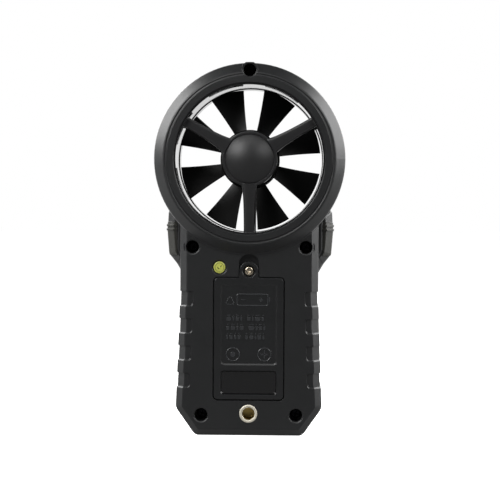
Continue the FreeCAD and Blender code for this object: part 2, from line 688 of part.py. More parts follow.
# ---------------------------------------------------------------- battery and its cover
def battery_cover():
    """The cover: a plate with a raised frame, a long and a short recess, a round screw tab and two hooks."""
    plate = rect(-cover_half, cover_half, cover_low_z, cover_high_z, 2.0)
    cover = slab(plate, back_y + 0.45, back_y + cover_t)
    cover = cover.fuse(Part.makeLoft([outline_wire(inset_corners(plate, 0.45), back_y),
                                      outline_wire(plate, back_y + 0.45)], True, True))
    cover = cover.fuse(cyl(0, tab_z, tab_r, back_y + 0.3, back_y + tab_t))
    cover = cover.fuse(Part.makeCone(tab_r - 0.3, tab_r, 0.3, V(0, back_y, tab_z), Y_AXIS))
    cover = cover.fuse(box(-tab_r, tab_r, back_y + 0.3, back_y + tab_t, 69.6, tab_z))
    cover = cover.fuse(box(-tab_r + 0.3, tab_r - 0.3, back_y, back_y + 1, 69.6, tab_z))
    for z0, z1, depth in ((31.6, 67.6, 0.45), (18.4, 29.3, 0.9)):
        wide = rect(-12.6, 12.6, z0, z1, 1.8)
        cover = cover.cut(Part.makeLoft([outline_wire(wide, back_y - 0.01),
                                         outline_wire(inset_corners(wide, 0.7), back_y + depth)], True, True))
    cover = cover.cut(cyl(0, tab_z, 2.75, back_y - 1, back_y + 1.6))
    cover = cover.cut(cyl(0, tab_z, 1.35, back_y, back_y + 4))
    cover = cover.cut(Part.makeCone(3.05, 2.75, 0.3, V(0, back_y, tab_z), Y_AXIS))
    for x in hook_x:
        x0, x1 = x - hook_half, x + hook_half
        cover = cover.fuse([box(x0, x1, back_y + 1.5, back_y + 3.0, cover_low_z + 0.05, 16.9),
                            box(x0, x1, back_y + 2.1, back_y + 3.0, 13.95, 16.9)])
    return cover


def cover_screw():
    """The captive screw in the cover's tab."""
    return cross_screw(0, tab_z, 2.2, back_y + 1.6, 1.35, 1.2, 3.7)


def cover_nut():
    """The brass nut moulded into the boss behind the tab."""
    return turned([(1.5, -10.6), (2.0, -10.6), (2.0, -7.7), (1.5, -7.7)], 0, tab_z)


def tripod_nut():
    """The threaded brass insert for a camera screw, its bore shown at the thread's crest."""
    y0, y1 = back_y - 0.2, back_y - 0.2 + tripod_len
    return turned([(tripod_bore_r, y0), (tripod_r - 0.25, y0), (tripod_r, y0 + 0.2), (tripod_r, y1),
                   (tripod_bore_r, y1)], 0, tripod_z)


def inspection_seal():
    return cyl(seal_x, seal_z, 2.6, back_y + 0.55, back_y + 0.9)


def battery():
    """A nine-volt block."""
    case = Part.makeBox(26.4, 17.2, 46.2, V(-13.2, -11.3, 18.6))
    edges = [e for e in case.Edges if abs(e.Vertexes[0].Z - e.Vertexes[1].Z) > 40]
    return case.makeFillet(2.0, edges)


def battery_terminals():
    """The block's two snap terminals, a narrow stud and a wide socket."""
    y = -2.7
    stud = Part.makeCylinder(2.85, 2.4, V(-6.35, y, 64.8))
    socket = Part.makeCylinder(4.1, 2.0, V(6.35, y, 64.8)).cut(Part.makeCylinder(2.9, 3, V(6.35, y, 65.3)))
    return Part.makeCompound([stud, socket])


def battery_clip():
    """The snap-on lead cap above the terminals."""
    cap = Part.makeBox(25.0, 11.5, 2.7, V(-12.5, -8.5, 67.4))
    edges = [e for e in cap.Edges if abs(e.Vertexes[0].Z - e.Vertexes[1].Z) > 2]
    return cap.makeFillet(2.0, edges)


def battery_lead(x):
    """One insulated lead from the clip, through the box floor, to the board."""
    return cyl(x, 68.7, 0.75, 3.0, board_y)


# ---------------------------------------------------------------- electronics and front
def key_outline(x, z, grow=0.0):
    half, high = key_w / 2 + grow, key_h / 2 + grow
    return rect(x - half, x + half, z - high, z + high, 2.4 + grow)


def key_solid(outline_at):
    """A key from its outline function: a bevelled cap, a flange behind the front wall and a stem to the
    board."""
    cap = slab(outline_at(0.0), 12.2, key_top_y - 0.7)
    cap = cap.fuse(Part.makeLoft([outline_wire(outline_at(0.0), key_top_y - 0.7),
                                  outline_wire(outline_at(-0.6), key_top_y)], True, True))
    flange = slab(outline_at(0.9), 11.9, 12.8)
    stem = slab(outline_at(-1.6), board_y + board_t + key_travel + 0.1, 12.0)
    return cap.fuse([flange, stem])


def round_key(grow_r):
    """The power key, round."""
    y0 = board_y + board_t + key_travel + 0.1
    stem, flange = grow_r - 1.6, grow_r + 0.9
    cap = [(grow_r, 12.8), (grow_r, key_top_y - 0.7), (grow_r - 0.6, key_top_y), (0, key_top_y)]
    return turned([(0, y0), (stem, y0), (stem, 11.9), (flange, 11.9), (flange, 12.8)] + cap, 0, power_z)


def keypad_mat():
    """The silicone mat on the board, with an opening round each key's stem."""
    y0 = board_y + board_t
    mat = slab(rect(-22.4, 22.4, 13.9, 42.6, 2.0), y0, y0 + 0.6)
    for x, z in key_rows.values():
        mat = mat.cut(slab(key_outline(x, z, -0.9), y0 - 1, y0 + 2))
    return mat.cut(cyl(0, power_z, power_r - 0.9, y0 - 1, y0 + 2))


def main_board():
    board = slab(rect(-board_half, board_half, board_low_z, board_high_z, 1.5), board_y, board_y + board_t)
    for x, z in board_screws:
        board = board.cut(cyl(x, z, 1.2, 0, 20))
    return board


def board_screw_set():
    return Part.makeCompound([cross_screw(x, z, 2.0, board_y, 1.4, 1.0, 4.6) for x, z in board_screws])


def board_parts():
    """Chips, a crystal, capacitors and a buzzer on the board's rear face, clear of the battery box."""
    y = board_y
    pieces = [box(-25.6, -16.6, y - 1.6, y, 44, 53), box(17.0, 23.5, y - 1.4, y, 44, 51),
              box(17.5, 24.0, y - 2.2, y, 56, 58.6), box(-24.5, -21.8, y - 1.0, y, 60, 66)]
    pieces += [cyl(-20.5, 30.0, 2.6, y - 5.0, y), cyl(20.8, 28.0, 3.2, y - 4.2, y)]
    for x in (-19.0, 18.0, 22.0):
        pieces += [box(x, x + 1.2, y - 0.6, y, z, z + 2.0) for z in (33.5, 37.0, 63.5)]
    return Part.makeCompound(pieces)


def lcd_z(edge):
    """Height of the display's lower (-1) or upper (+1) edge."""
    return display_z + edge * lcd_high / 2


def display_panel():
    return box(-lcd_half, lcd_half, 10.4, 12.8, lcd_z(-1), lcd_z(1))


def display_backlight():
    half = lcd_half - 0.8
    return box(-half, half, board_y + board_t + 0.1, 10.3, lcd_z(-1) + 2.8, lcd_z(1) - 2.8)


def contact_strips():
    """The two elastomer strips that join the display to the board."""
    y0, y1 = board_y + board_t, 10.4
    half = lcd_half - 0.8
    return Part.makeCompound([box(-half, half, y0, y1, lcd_z(-1) + 0.2, lcd_z(-1) + 2.2),
                              box(-half, half, y0, y1, lcd_z(1) - 2.2, lcd_z(1) - 0.2)])


def display_frame():
    """The frame that locates the display on the board."""
    outer = rect(-lcd_half - 1.6, lcd_half + 1.6, lcd_z(-1) - 1.6, lcd_z(1) + 1.1, 1.0)
    inner = box(-lcd_half - 0.1, lcd_half + 0.1, 0, 20, lcd_z(-1) - 0.1, lcd_z(1) + 0.1)
    return slab(outer, board_y + board_t, 12.95).cut(inner)


def window_outline(grow, corner):
    """The display window's outline, grown by grow."""
    half, high = window_half + grow, window_high / 2 + grow
    return rect(-half, half, display_z - high, display_z + high, corner)


def display_window():
    return slab(window_outline(0.0, 1.5), front_y - fascia_t - 0.6, front_y - 0.05)


def front_fascia():
    """The thin face plate round the display window and the keys."""
    outline = rect(-fascia_half, fascia_half, fascia_low_z, fascia_high_z, 4.0)
    plate = slab(outline, front_y - fascia_t, front_y)
    plate = plate.cut(slab(window_outline(0.2, 1.7), 0, 30))
    for x, z in key_rows.values():
        plate = plate.cut(slab(key_outline(x, z, key_gap), 0, 30))
    return plate.cut(cyl(0, power_z, power_r + key_gap, 0, 30))


def climate_board():
    """The small board behind the vent on the -X side."""
    return box(-32.3, -31.3, 1.0, 8.0, 83.6, 93.6)


def humidity_sensor():
    return box(-33.6, -32.3, 4.6, 7.4, 87.2, 90.2)


def temperature_bead():
    return Part.makeSphere(0.8, V(-33.1, 3.8, 85.8))


# ---------------------------------------------------------------- write every part
def main():
    os.makedirs("parts", exist_ok=True)
    save("rear_shell", rear_shell())
    save("front_shell", front_shell())
    save("case_screws", case_screws())
    save("wind_duct", wind_duct())
    save("rear_spider", spider(True))
    save("front_spider", mirrored_y(spider(False)))
    save("rear_hub_cap", hub_cap())
    save("front_hub_cap", mirrored_y(hub_cap()))
    save("impeller", impeller())
    save("rotor_magnets", rotor_magnets())
    save("spindle", spindle())
    save("spindle_collars", spindle_collars())
    for name, side in (("rear", -1), ("front", 1)):
        outer, inner, balls = bearing_rings(side)
        save(name + "_bearing_outer_ring", outer)
        save(name + "_bearing_inner_ring", inner)
        save(name + "_bearing_balls", balls)
    save("speed_pickup", speed_pickup())
    save("pickup_cable", pickup_cable())
    save("battery_cover", battery_cover())
    save("cover_screw", cover_screw())
    save("cover_nut", cover_nut())
    save("tripod_nut", tripod_nut())
    save("inspection_seal", inspection_seal())
    save("battery", battery())
    save("battery_terminals", battery_terminals())
    save("battery_clip", battery_clip())
    save("battery_lead_positive", battery_lead(-2.2))
    save("battery_lead_negative", battery_lead(2.2))
    save("main_board", main_board())
    save("board_screws", board_screw_set())
    save("board_components", board_parts())
    save("display_panel", display_panel())
    save("display_backlight", display_backlight())
    save("display_contact_strips", contact_strips())
    save("display_frame", display_frame())
    save("display_window", display_window())
    save("front_fascia", front_fascia())
    save("keypad_mat", keypad_mat())
    for name, (x, z) in key_rows.items():
        save(name, key_solid(lambda grow, x=x, z=z: key_outline(x, z, grow)))
    save("key_power", round_key(power_r))
    save("left_vent", side_vent(-1))
    save("right_vent", side_vent(1))
    save("climate_board", climate_board())
    save("humidity_sensor", humidity_sensor())
    save("temperature_bead", temperature_bead())


main()
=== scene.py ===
"""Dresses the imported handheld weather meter: its housing, its vane in the wind duct, its cover and keys.

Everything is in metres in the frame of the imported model: +Z up the body, -Y the back, +Y the display face.
Sizes in the classes are millimetres, as they stand on a drawing, and turn into metres when a mesh is made.
"""

import json
import logging
import math
from dataclasses import dataclass, field
from enum import Enum
from typing import Any, Sequence

import bmesh
import bpy
import numpy as np
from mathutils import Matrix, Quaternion, Vector


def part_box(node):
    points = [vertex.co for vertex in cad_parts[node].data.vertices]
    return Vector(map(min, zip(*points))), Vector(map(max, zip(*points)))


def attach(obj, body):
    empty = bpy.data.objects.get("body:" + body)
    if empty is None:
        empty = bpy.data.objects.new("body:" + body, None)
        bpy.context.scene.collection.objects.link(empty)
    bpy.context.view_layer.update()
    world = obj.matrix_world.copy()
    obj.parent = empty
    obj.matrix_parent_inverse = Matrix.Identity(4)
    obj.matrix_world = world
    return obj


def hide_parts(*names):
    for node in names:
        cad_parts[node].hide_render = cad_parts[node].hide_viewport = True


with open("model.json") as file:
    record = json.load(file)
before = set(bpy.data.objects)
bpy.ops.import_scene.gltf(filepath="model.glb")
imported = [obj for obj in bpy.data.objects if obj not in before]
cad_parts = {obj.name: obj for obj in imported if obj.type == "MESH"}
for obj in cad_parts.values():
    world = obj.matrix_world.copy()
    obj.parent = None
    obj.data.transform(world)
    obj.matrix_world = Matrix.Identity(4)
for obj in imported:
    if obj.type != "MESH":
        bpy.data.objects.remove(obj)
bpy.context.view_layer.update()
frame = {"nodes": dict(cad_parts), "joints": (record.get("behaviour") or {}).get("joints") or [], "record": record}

LOG = logging.getLogger("weather_meter")
MM = 0.001
FULL_TURN = 2 * math.pi
SMOOTH_BELOW = math.radians(32.0)
EASE_SHARE = 0.12

Point = tuple[float, float]
Tree = bpy.types.NodeTree
Socket = bpy.types.NodeSocket


# ---------------------------------------------------------------------------------------- surfaces
@dataclass
class Surface:
    """Part of a mesh: points in millimetres, faces of four and of three points, and a material's number."""

    points: np.ndarray
    quads: np.ndarray
    tris: np.ndarray
    material: int = 0


def from_grid(grid: np.ndarray, close_rows: bool = False, close_columns: bool = True, caps: bool = False,
              material: int = 0) -> Surface:
    """Joins the neighbours of a grid of points into faces.

    Args:
        grid: points as (rows, columns, 3), in millimetres.
        close_rows: the last row also joins the first one.
        close_columns: the last column also joins the first one.
        caps: the first and last rows are closed by a fan round their middle.
        material: number of the material on the piece.

    Returns:
        The surface.
    """
    rows, columns = grid.shape[:2]
    index = np.arange(rows * columns).reshape(rows, columns)
    across = np.roll(index, -1, axis=1) if close_columns else index[:, 1:]
    here = index if close_columns else index[:, :-1]
    if close_rows:
        below, below_across = np.roll(here, -1, axis=0), np.roll(across, -1, axis=0)
    else:
        here, below = here[:-1], here[1:]
        across, below_across = across[:-1], across[1:]
    quads = np.stack([here, across, below_across, below], axis=-1).reshape(-1, 4)
    points = grid.reshape(-1, 3)
    tris = np.zeros((0, 3), int)
    if caps:
        middles = np.array([grid[0].mean(axis=0), grid[-1].mean(axis=0)])
        first, last = rows * columns, rows * columns + 1
        start, end = index[0], index[-1]
        tris = np.concatenate([
            np.stack([np.full(columns, first), np.roll(start, -1), start], axis=-1),
            np.stack([np.full(columns, last), end, np.roll(end, -1)], axis=-1)])
        points = np.concatenate([points, middles])
    return Surface(points, quads, tris, material)


def points_at(x: np.ndarray, y: np.ndarray, z: np.ndarray) -> np.ndarray:
    """Three arrays of coordinates, spread to one shape, as one array of points."""
    return np.stack(np.broadcast_arrays(x, y, z), axis=-1)


def round_line(centre: Point, radius: np.ndarray, angle: np.ndarray, y: np.ndarray) -> np.ndarray:
    """Points at a radius and an angle in radians round a line along Y through (x, z), at heights y."""
    return points_at(centre[0] + radius * np.cos(angle), y, centre[1] + radius * np.sin(angle))


def whole_turn(count: int) -> np.ndarray:
    """Angles evenly round a whole turn, in radians, without the repeated end."""
    return np.linspace(0, FULL_TURN, count, endpoint=False)


def squared_off(wave: np.ndarray, power: float) -> np.ndarray:
    """A wave between -1 and 1 made boxier: its sign times its size to a power below 1."""
    return np.sign(wave) * np.abs(wave) ** power


def soft_step(distance: np.ndarray, width: float) -> np.ndarray:
    """A smooth step from 0 to 1 over a width round 0: 3 t squared less 2 t cubed."""
    t = np.clip(distance / width + 0.5, 0, 1)
    return t * t * (3 - 2 * t)


def soft_profile(corners: Sequence[tuple[float, float, float]], closed: bool = True,
                 steps: int = 7) -> np.ndarray:
    """A polygon whose corners are rounded by circular arcs.

    Each corner is (a, b, radius). An arc leaves each side at radius / tan(half the corner's angle) from the
    corner, and a point a little before and after each arc keeps the flats flat when they are shaded smooth.

    Args:
        corners: the polygon's corners, in millimetres.
        closed: the last corner joins the first one; otherwise the two end corners stay as they are.
        steps: points on each arc.

    Returns:
        The points as (count, 2).
    """
    count = len(corners)
    runs: list[np.ndarray] = []
    for i, (a, b, radius) in enumerate(corners):
        here = np.array([a, b])
        if radius <= 0 or (not closed and i in (0, count - 1)):
            runs.append(here[None])
            continue
        back = np.array(corners[i - 1][:2]) - here
        ahead = np.array(corners[(i + 1) % count][:2]) - here
        back /= np.linalg.norm(back)
        ahead /= np.linalg.norm(ahead)
        half = math.acos(float(np.clip(back @ ahead, -1, 1))) / 2
        reach = radius / math.tan(half)
        bisector = (back + ahead) / np.linalg.norm(back + ahead)
        centre = here + bisector * radius / math.sin(half)
        from_centre = (here + back * reach - centre) / radius
        to_end = (here + ahead * reach - centre) / radius
        turn = math.pi - 2 * half
        t = np.linspace(0, 1, steps)[:, None] * turn
        arc = centre + radius * (from_centre * np.sin(turn - t) + to_end * np.sin(t)) / math.sin(turn)
        ease = radius * EASE_SHARE
        runs.append(np.concatenate([[arc[0] + back * ease], arc, [arc[-1] + ahead * ease]]))
    return np.concatenate(runs)


def turned(profile: np.ndarray, centre: Point, segments: int = 192, closed: bool = True, caps: bool = False,
           material: int = 0) -> Surface:
    """A surface of revolution about a line along Y: each (radius, y) of the profile goes round as a circle.

    Args:
        profile: (radius, y) points.
        centre: (x, z) of the line.
        segments: points round the circle.
        closed: the profile is a closed loop.
        caps: an open profile's ends are closed on the line.
        material: number of the material on the piece.

    Returns:
        The surface.
    """
    grid = round_line(centre, profile[:, 0, None], whole_turn(segments), profile[:, 1, None])
    return from_grid(grid, close_rows=closed, caps=caps, material=material)


def relief(outline: np.ndarray, y_root: float, y_top: float, ease: float, material: int = 0) -> Surface:
    """A low raised form: an (x, z) outline carried from y_root to y_top, with its top edge eased inwards.

    Each ring of the side is the outline drawn towards its own middle line by the ease, along a quarter
    circle; one more ring on the flat top, just inside, keeps the top flat when it is shaded smooth.

    Args:
        outline: closed outline as (count, 2), without a repeated end.
        y_root: where the form stands.
        y_top: its top.
        ease: how far the top edge is rounded, in millimetres.
        material: number of the material on the piece.

    Returns:
        The surface, closed at both ends.
    """
    ahead = np.roll(outline, -1, axis=0) - outline
    ahead /= np.maximum(np.linalg.norm(ahead, axis=1, keepdims=True), 1e-9)
    normal = np.stack([-ahead[:, 1], ahead[:, 0]], axis=1)
    normal += np.roll(normal, 1, axis=0)
    normal /= np.maximum(np.linalg.norm(normal, axis=1, keepdims=True), 1e-9)
    area = np.sum(outline[:, 0] * np.roll(outline[:, 1], -1) - np.roll(outline[:, 0], -1) * outline[:, 1])
    normal *= math.copysign(1.0, area)
    lean = np.linspace(0, math.pi / 2, 4)
    tall = abs(y_top - y_root)
    inset = np.concatenate([[0.0], ease * (1 - np.cos(lean)), [ease * 2]])
    climb = np.concatenate([[0.0], tall - ease * (1 - np.sin(lean)), [tall]])
    height = y_root + math.copysign(1.0, y_top - y_root) * climb
    rings = outline[None] + normal[None] * inset[:, None, None]
    grid = points_at(rings[..., 0], height[:, None], rings[..., 1])
    return from_grid(grid, caps=True, material=material)


def loop_band(outline: np.ndarray, width: float, y_root: float, y_top: float, material: int = 0) -> Surface:
    """A raised band along a closed (x, z) outline: its section, a raised cosine wave, is carried round it.

    Args:
        outline: the band's middle line, closed.
        width: its width.
        y_root: where it stands.
        y_top: its top.
        material: number of the material on the piece.

    Returns:
        The surface, closed both ways.
    """
    ahead = np.roll(outline, -1, axis=0) - np.roll(outline, 1, axis=0)
    ahead /= np.maximum(np.linalg.norm(ahead, axis=1, keepdims=True), 1e-9)
    normal = np.stack([-ahead[:, 1], ahead[:, 0]], axis=1)
    phase = np.linspace(-0.5, 0.5, 9)
    across = phase * width
    height = y_root + (y_top - y_root) * np.cos(math.pi * phase) ** 0.7
    line = outline[:, None] + normal[:, None] * across[None, :, None]
    grid = np.swapaxes(points_at(line[..., 0], height, line[..., 1]), 0, 1)
    return from_grid(grid, close_rows=True, material=material)


def stroke(path: np.ndarray, width: float) -> np.ndarray:
    """The outline of a line of constant width: out along one side of its path, back along the other.

    Args:
        path: the line's middle, as open (x, z) points.
        width: its width.

    Returns:
        The outline as (count, 2).
    """
    ahead = np.gradient(path, axis=0)
    ahead /= np.linalg.norm(ahead, axis=1, keepdims=True)
    side = np.stack([-ahead[:, 1], ahead[:, 0]], axis=1) * width / 2
    return np.concatenate([path + side, (path - side)[::-1]])


def soft_box(centre: Point, size: Point, radius: float, steps: int = 6) -> np.ndarray:
    """The outline of a rectangle with rounded corners.

    Args:
        centre: its middle (x, z).
        size: its width and height.
        radius: the corners' radius.
        steps: points on each corner.

    Returns:
        The outline as (count, 2).
    """
    (x, z), (w, h) = centre, (size[0] / 2, size[1] / 2)
    signs = ((-1, -1), (1, -1), (1, 1), (-1, 1))
    return soft_profile([(x + right * w, z + up * h, radius) for right, up in signs], steps=steps)


def plus(centre: Point, size: float, width: float) -> np.ndarray:
    """The outline of a plus sign: the corners of one arm, repeated at each quarter turn.

    Args:
        centre: its middle (x, z).
        size: its whole width and height.
        width: the width of an arm.

    Returns:
        The outline as (12, 2).
    """
    a, b = size / 2, width / 2
    arm = np.array([[a, -b], [a, b], [b, b]])
    turns = [np.array([[math.cos(t), math.sin(t)], [-math.sin(t), math.cos(t)]]) for t in whole_turn(4)]
    return np.concatenate([arm @ turn for turn in turns]) + centre


def circle(centre: Point, radius: float, start: float = 0.0, end: float = 360.0,
           count: int = 40) -> np.ndarray:
    """Points on a circle's arc, without the repeated end when it is a whole turn.

    Args:
        centre: its middle (x, z).
        radius: its radius.
        start: where it starts, in degrees from +X towards +Z.
        end: where it ends, in degrees.
        count: how many points.

    Returns:
        The points as (count, 2).
    """
    angle = np.radians(np.linspace(start, end, count, endpoint=abs(end - start) < 360.0))
    return np.stack([centre[0] + radius * np.cos(angle), centre[1] + radius * np.sin(angle)], axis=1)


@dataclass(frozen=True)
class Marks:
    """Marks moulded or printed on one face, with their outlines drawn round an origin on it.

    Attributes:
        origin: the (x, z) that the outlines are drawn round, in millimetres.
        y_root: where the marks stand, a little inside the face.
        y_top: their top.
        ease: how far a filled mark's top edge is rounded.
        material: number of the material on the piece.
    """

    origin: Point
    y_root: float
    y_top: float
    ease: float
    material: int = 0

    def form(self, outline: np.ndarray) -> Surface:
        """A filled mark."""
        return relief(outline + self.origin, self.y_root, self.y_top, self.ease, self.material)

    def band(self, outline: np.ndarray, width: float) -> Surface:
        """A line of constant width round a closed outline."""
        return loop_band(outline + self.origin, width, self.y_root, self.y_top, self.material)


# ---------------------------------------------------------------------------------------- finishes
def linear(code: str) -> tuple[float, float, float, float]:
    """An sRGB hex colour as linear red, green, blue and alpha."""
    parts = [int(code[i:i + 2], 16) / 255 for i in (1, 3, 5)]
    return (*[p / 12.92 if p <= 0.04045 else ((p + 0.055) / 1.055) ** 2.4 for p in parts], 1.0)


def add(tree: Tree, kind: str, settings: dict[str | int, Any] | None = None,
        links: dict[str | int, Socket] | None = None) -> bpy.types.Node:
    """Adds a node to a tree.

    Args:
        tree: the node tree.
        kind: the node's type name, without its ShaderNode prefix.
        settings: attribute names and input names or numbers, with their values.
        links: input names or numbers, with the output socket that feeds each.

    Returns:
        The node.
    """
    node = tree.nodes.new("ShaderNode" + kind)
    for key, value in (settings or {}).items():
        if isinstance(key, str) and hasattr(node, key):
            setattr(node, key, value)
        else:
            node.inputs[key].default_value = value
    for key, socket in (links or {}).items():
        tree.links.new(socket, node.inputs[key])
    return node


class Making(Enum):
    """How a surface was made, which decides the pattern of its bump and gloss."""

    TEXTURED = "spark-eroded mould texture"
    POLISHED = "polished mould"
    TURNED = "turned or ground about an axis along Y"
    PLATED = "plated"
    PRINTED = "printed or lacquered film"
    RUBBER = "moulded silicone"


@dataclass(frozen=True)
class Finish:
    """A procedural material, whose colour and gloss drift slowly over the surface under a fine bump.

    Erosion pits and tool marks are really finer than a tenth of a millimetre. They would be lost at the
    size that the object is seen, so their grain is drawn two or three times as coarse.

    Attributes:
        name: the real material and how it was made.
        colour: one sRGB colour that the surface drifts between.
        shade: the other one.
        making: what decides the fine pattern.
        roughness: its middle value.
        spread: how far the roughness goes to each side of that.
        grain: the pattern's size in millimetres.
        depth: the pattern's height in millimetres.
        edge_colour: what the edges rub to, or nothing where they don't.
        edge_radius: the smallest round that the light finds on an edge, in millimetres.
    """

    name: str
    colour: str
    shade: str
    making: Making
    roughness: float
    metallic: float = 0.0
    ior: float = 1.5
    grain: float = 0.35
    depth: float = 0.012
    spread: float = 0.06
    coat: float = 0.0
    transmission: float = 0.0
    specular: float = 0.5
    edge_colour: str = ""
    edge_radius: float = 0.18

    def build(self) -> bpy.types.Material:
        """Makes the material, or finds it if it has been made already.

        Returns:
            The material.
        """
        made = bpy.data.materials.get(self.name)
        if made:
            return made
        material = bpy.data.materials.new(self.name)
        material.use_nodes = True
        material.diffuse_color = linear(self.colour)
        tree = material.node_tree
        tree.nodes.clear()
        place = add(tree, "TexCoord").outputs["Object"]
        # flow in the mould shifts colour and gloss a little, over about a centimetre
        flow = {"Scale": 1 / (9.0 * MM), "Detail": 3.0, "Roughness": 0.6}
        drift = add(tree, "TexNoise", flow, {"Vector": place}).outputs[0]
        colour = add(tree, "MixRGB", {1: linear(self.colour), 2: linear(self.shade)}, {0: drift}).outputs[0]
        grain = self.pattern(tree, place)
        half_grain = add(tree, "Math", {"operation": "MULTIPLY", 1: 0.5}, {0: grain}).outputs[0]
        both = add(tree, "Math", {"operation": "MULTIPLY_ADD", 1: 0.5}, {0: drift, 2: half_grain}).outputs[0]
        ends = {"To Min": self.roughness - self.spread, "To Max": self.roughness + self.spread}
        gloss = add(tree, "MapRange", ends, {"Value": both}).outputs[0]
        rounded = add(tree, "Bevel", {"samples": 4, "Radius": self.edge_radius * MM}).outputs[0]
        if self.edge_colour:
            colour = self.worn(tree, colour, rounded, drift)
        bump = add(tree, "Bump", {"Strength": 1.0, "Distance": self.depth * MM},
                   {"Height": grain, "Normal": rounded})
        colour, gloss = self.patch(tree, place, colour, gloss)
        shader = add(tree, "BsdfPrincipled",
                     {"Metallic": self.metallic, "Coat Weight": self.coat, "Coat Roughness": 0.12,
                      "Transmission Weight": self.transmission, "Specular IOR Level": self.specular},
                     {"Base Color": colour, "Roughness": gloss, "Normal": bump.outputs[0]})
        if not self.metallic:
            shader.inputs["IOR"].default_value = self.ior
        add(tree, "OutputMaterial", links={"Surface": shader.outputs[0]})
        return material

    def patch(self, tree: Tree, place: Socket, colour: Socket, gloss: Socket) -> tuple[Socket, Socket]:
        """Leaves colour and roughness as they are; a finish with a polished patch changes them there."""
        return colour, gloss

    def pattern(self, tree: Tree, place: Socket) -> Socket:
        """Adds the fine height pattern that the making leaves.

        Args:
            tree: the material's node tree.
            place: the object's coordinates.

        Returns:
            The height, from 0 to 1.
        """
        scale = 1 / (self.grain * MM)
        if self.making in (Making.TEXTURED, Making.RUBBER):
            # eroded mould steel leaves shallow rounded pits: smooth cells times a softer noise
            cells = add(tree, "TexVoronoi", {"feature": "SMOOTH_F1", "Scale": scale}, {"Vector": place})
            noise = add(tree, "TexNoise", {"Scale": scale * 0.45, "Detail": 2.0}, {"Vector": place})
            pits = add(tree, "Math", {"operation": "MULTIPLY"}, {0: cells.outputs[0], 1: noise.outputs[0]})
            return pits.outputs[0]
        if self.making is Making.TURNED:
            # tool marks follow the turn, so the noise is drawn out across the axis and stays fine along it
            drawn = add(tree, "Mapping", {"Scale": (0.05, 1.0, 0.05)}, {"Vector": place}).outputs[0]
            return add(tree, "TexNoise", {"Scale": scale, "Detail": 2.0}, {"Vector": drawn}).outputs[0]
        detail = 4.0 if self.making is Making.PLATED else 1.0
        return add(tree, "TexNoise", {"Scale": scale, "Detail": detail}, {"Vector": place}).outputs[0]

    def worn(self, tree: Tree, colour: Socket, rounded: Socket, drift: Socket) -> Socket:
        """Rubs the edges: where the rounded normal leaves the face's own, the colour moves to the edge's.

        Args:
            tree: the material's node tree.
            colour: the colour away from the edges.
            rounded: the normal of the rounded edges.
            drift: slow noise that makes the wear uneven.

        Returns:
            The colour with its edges rubbed.
        """
        face = add(tree, "NewGeometry").outputs["Normal"]
        agree = add(tree, "VectorMath", {"operation": "DOT_PRODUCT"}, {0: rounded, 1: face}).outputs["Value"]
        edge = add(tree, "MapRange", {"From Min": 0.995, "From Max": 0.86}, {"Value": agree}).outputs[0]
        uneven = add(tree, "Math", {"operation": "MULTIPLY", "use_clamp": True}, {0: edge, 1: drift})
        rubbed = add(tree, "MixRGB", {2: linear(self.edge_colour)}, {0: uneven.outputs[0], 1: colour})
        return rubbed.outputs[0]


@dataclass(frozen=True)
class PaddedFinish(Finish):
    """A textured finish with one rectangular pad that the mould's maker has polished.

    Attributes:
        pad_middle: the pad's middle (x, z) in millimetres.
        pad_half: half its width and height.
        pad_roughness: its roughness.
        pad_colour: its sRGB colour, deeper than the texture's because polished plastic scatters less.
    """

    pad_middle: Point = (0.0, 0.0)
    pad_half: Point = (1.0, 1.0)
    pad_roughness: float = 0.1
    pad_colour: str = "#0a0a0b"

    def patch(self, tree: Tree, place: Socket, colour: Socket, gloss: Socket) -> tuple[Socket, Socket]:
        """Takes colour and roughness to the pad's, inside the rectangle round its middle in X and Z.

        Args:
            tree: the material's node tree.
            place: the object's coordinates.
            colour: the colour outside the pad.
            gloss: the roughness outside the pad.

        Returns:
            The colour and the roughness everywhere.
        """
        apart = add(tree, "SeparateXYZ", links={0: place})
        near = [add(tree, "Math", {"operation": "COMPARE", 1: middle * MM, 2: half * MM},
                    {0: apart.outputs[axis]}).outputs[0]
                for axis, middle, half in zip("XZ", self.pad_middle, self.pad_half)]
        inside = add(tree, "Math", {"operation": "MULTIPLY"}, {0: near[0], 1: near[1]}).outputs[0]
        deep = add(tree, "MixRGB", {2: linear(self.pad_colour)}, {0: inside, 1: colour})
        smooth = add(tree, "Mix", {"data_type": "FLOAT", 3: self.pad_roughness}, {0: inside, 2: gloss})
        return deep.outputs[0], smooth.outputs[0]


# Moulded ABS with a spark-eroded texture: a dull, nearly black skin whose edges rub to a greyer gloss.
ABS_TEXTURED = Finish("abs_black_textured_moulded", "#121314", "#171819", Making.TEXTURED, 0.42, ior=1.53,
                      grain=0.32, depth=0.010, edge_colour="#3a3b3d")
# The cover's tool has a slightly finer texture than the shells' tool.
ABS_COVER = PaddedFinish("abs_black_cover_moulded", "#121314", "#171819", Making.TEXTURED, 0.35, ior=1.53,
                         grain=0.26, depth=0.008, edge_colour="#3a3b3d", pad_middle=(0.0, 23.85),
                         pad_half=(12.3, 5.2), pad_roughness=0.13)
# The signs are cut into the tool and stay polished, so their edges catch the light; their grey, lighter than the
# cover's black ABS that they are moulded in, is a painted highlight.
ABS_RELIEF_PAINTED_HIGHLIGHT = Finish("abs_relief_painted_highlight_moulded", "#2a2b2d", "#323335", Making.POLISHED, 0.20, ior=1.53,
                    grain=0.6, depth=0.004, spread=0.03, edge_radius=0.05)
# Polished tool steel leaves ABS glossy: the duct mirrors the daylight at a grazing angle.
ABS_POLISHED = Finish("abs_black_polished_moulded", "#161617", "#1a1a1b", Making.POLISHED, 0.10, ior=1.53,
                      grain=1.4, depth=0.003, spread=0.03, coat=0.5)
# The spiders' tool is blasted, not polished: the legs and hubs have a satin skin.
ABS_SATIN = Finish("abs_black_satin_moulded", "#1b1b1c", "#212122", Making.TEXTURED, 0.34, ior=1.53,
                   grain=0.22, depth=0.005, spread=0.04, edge_colour="#303133")
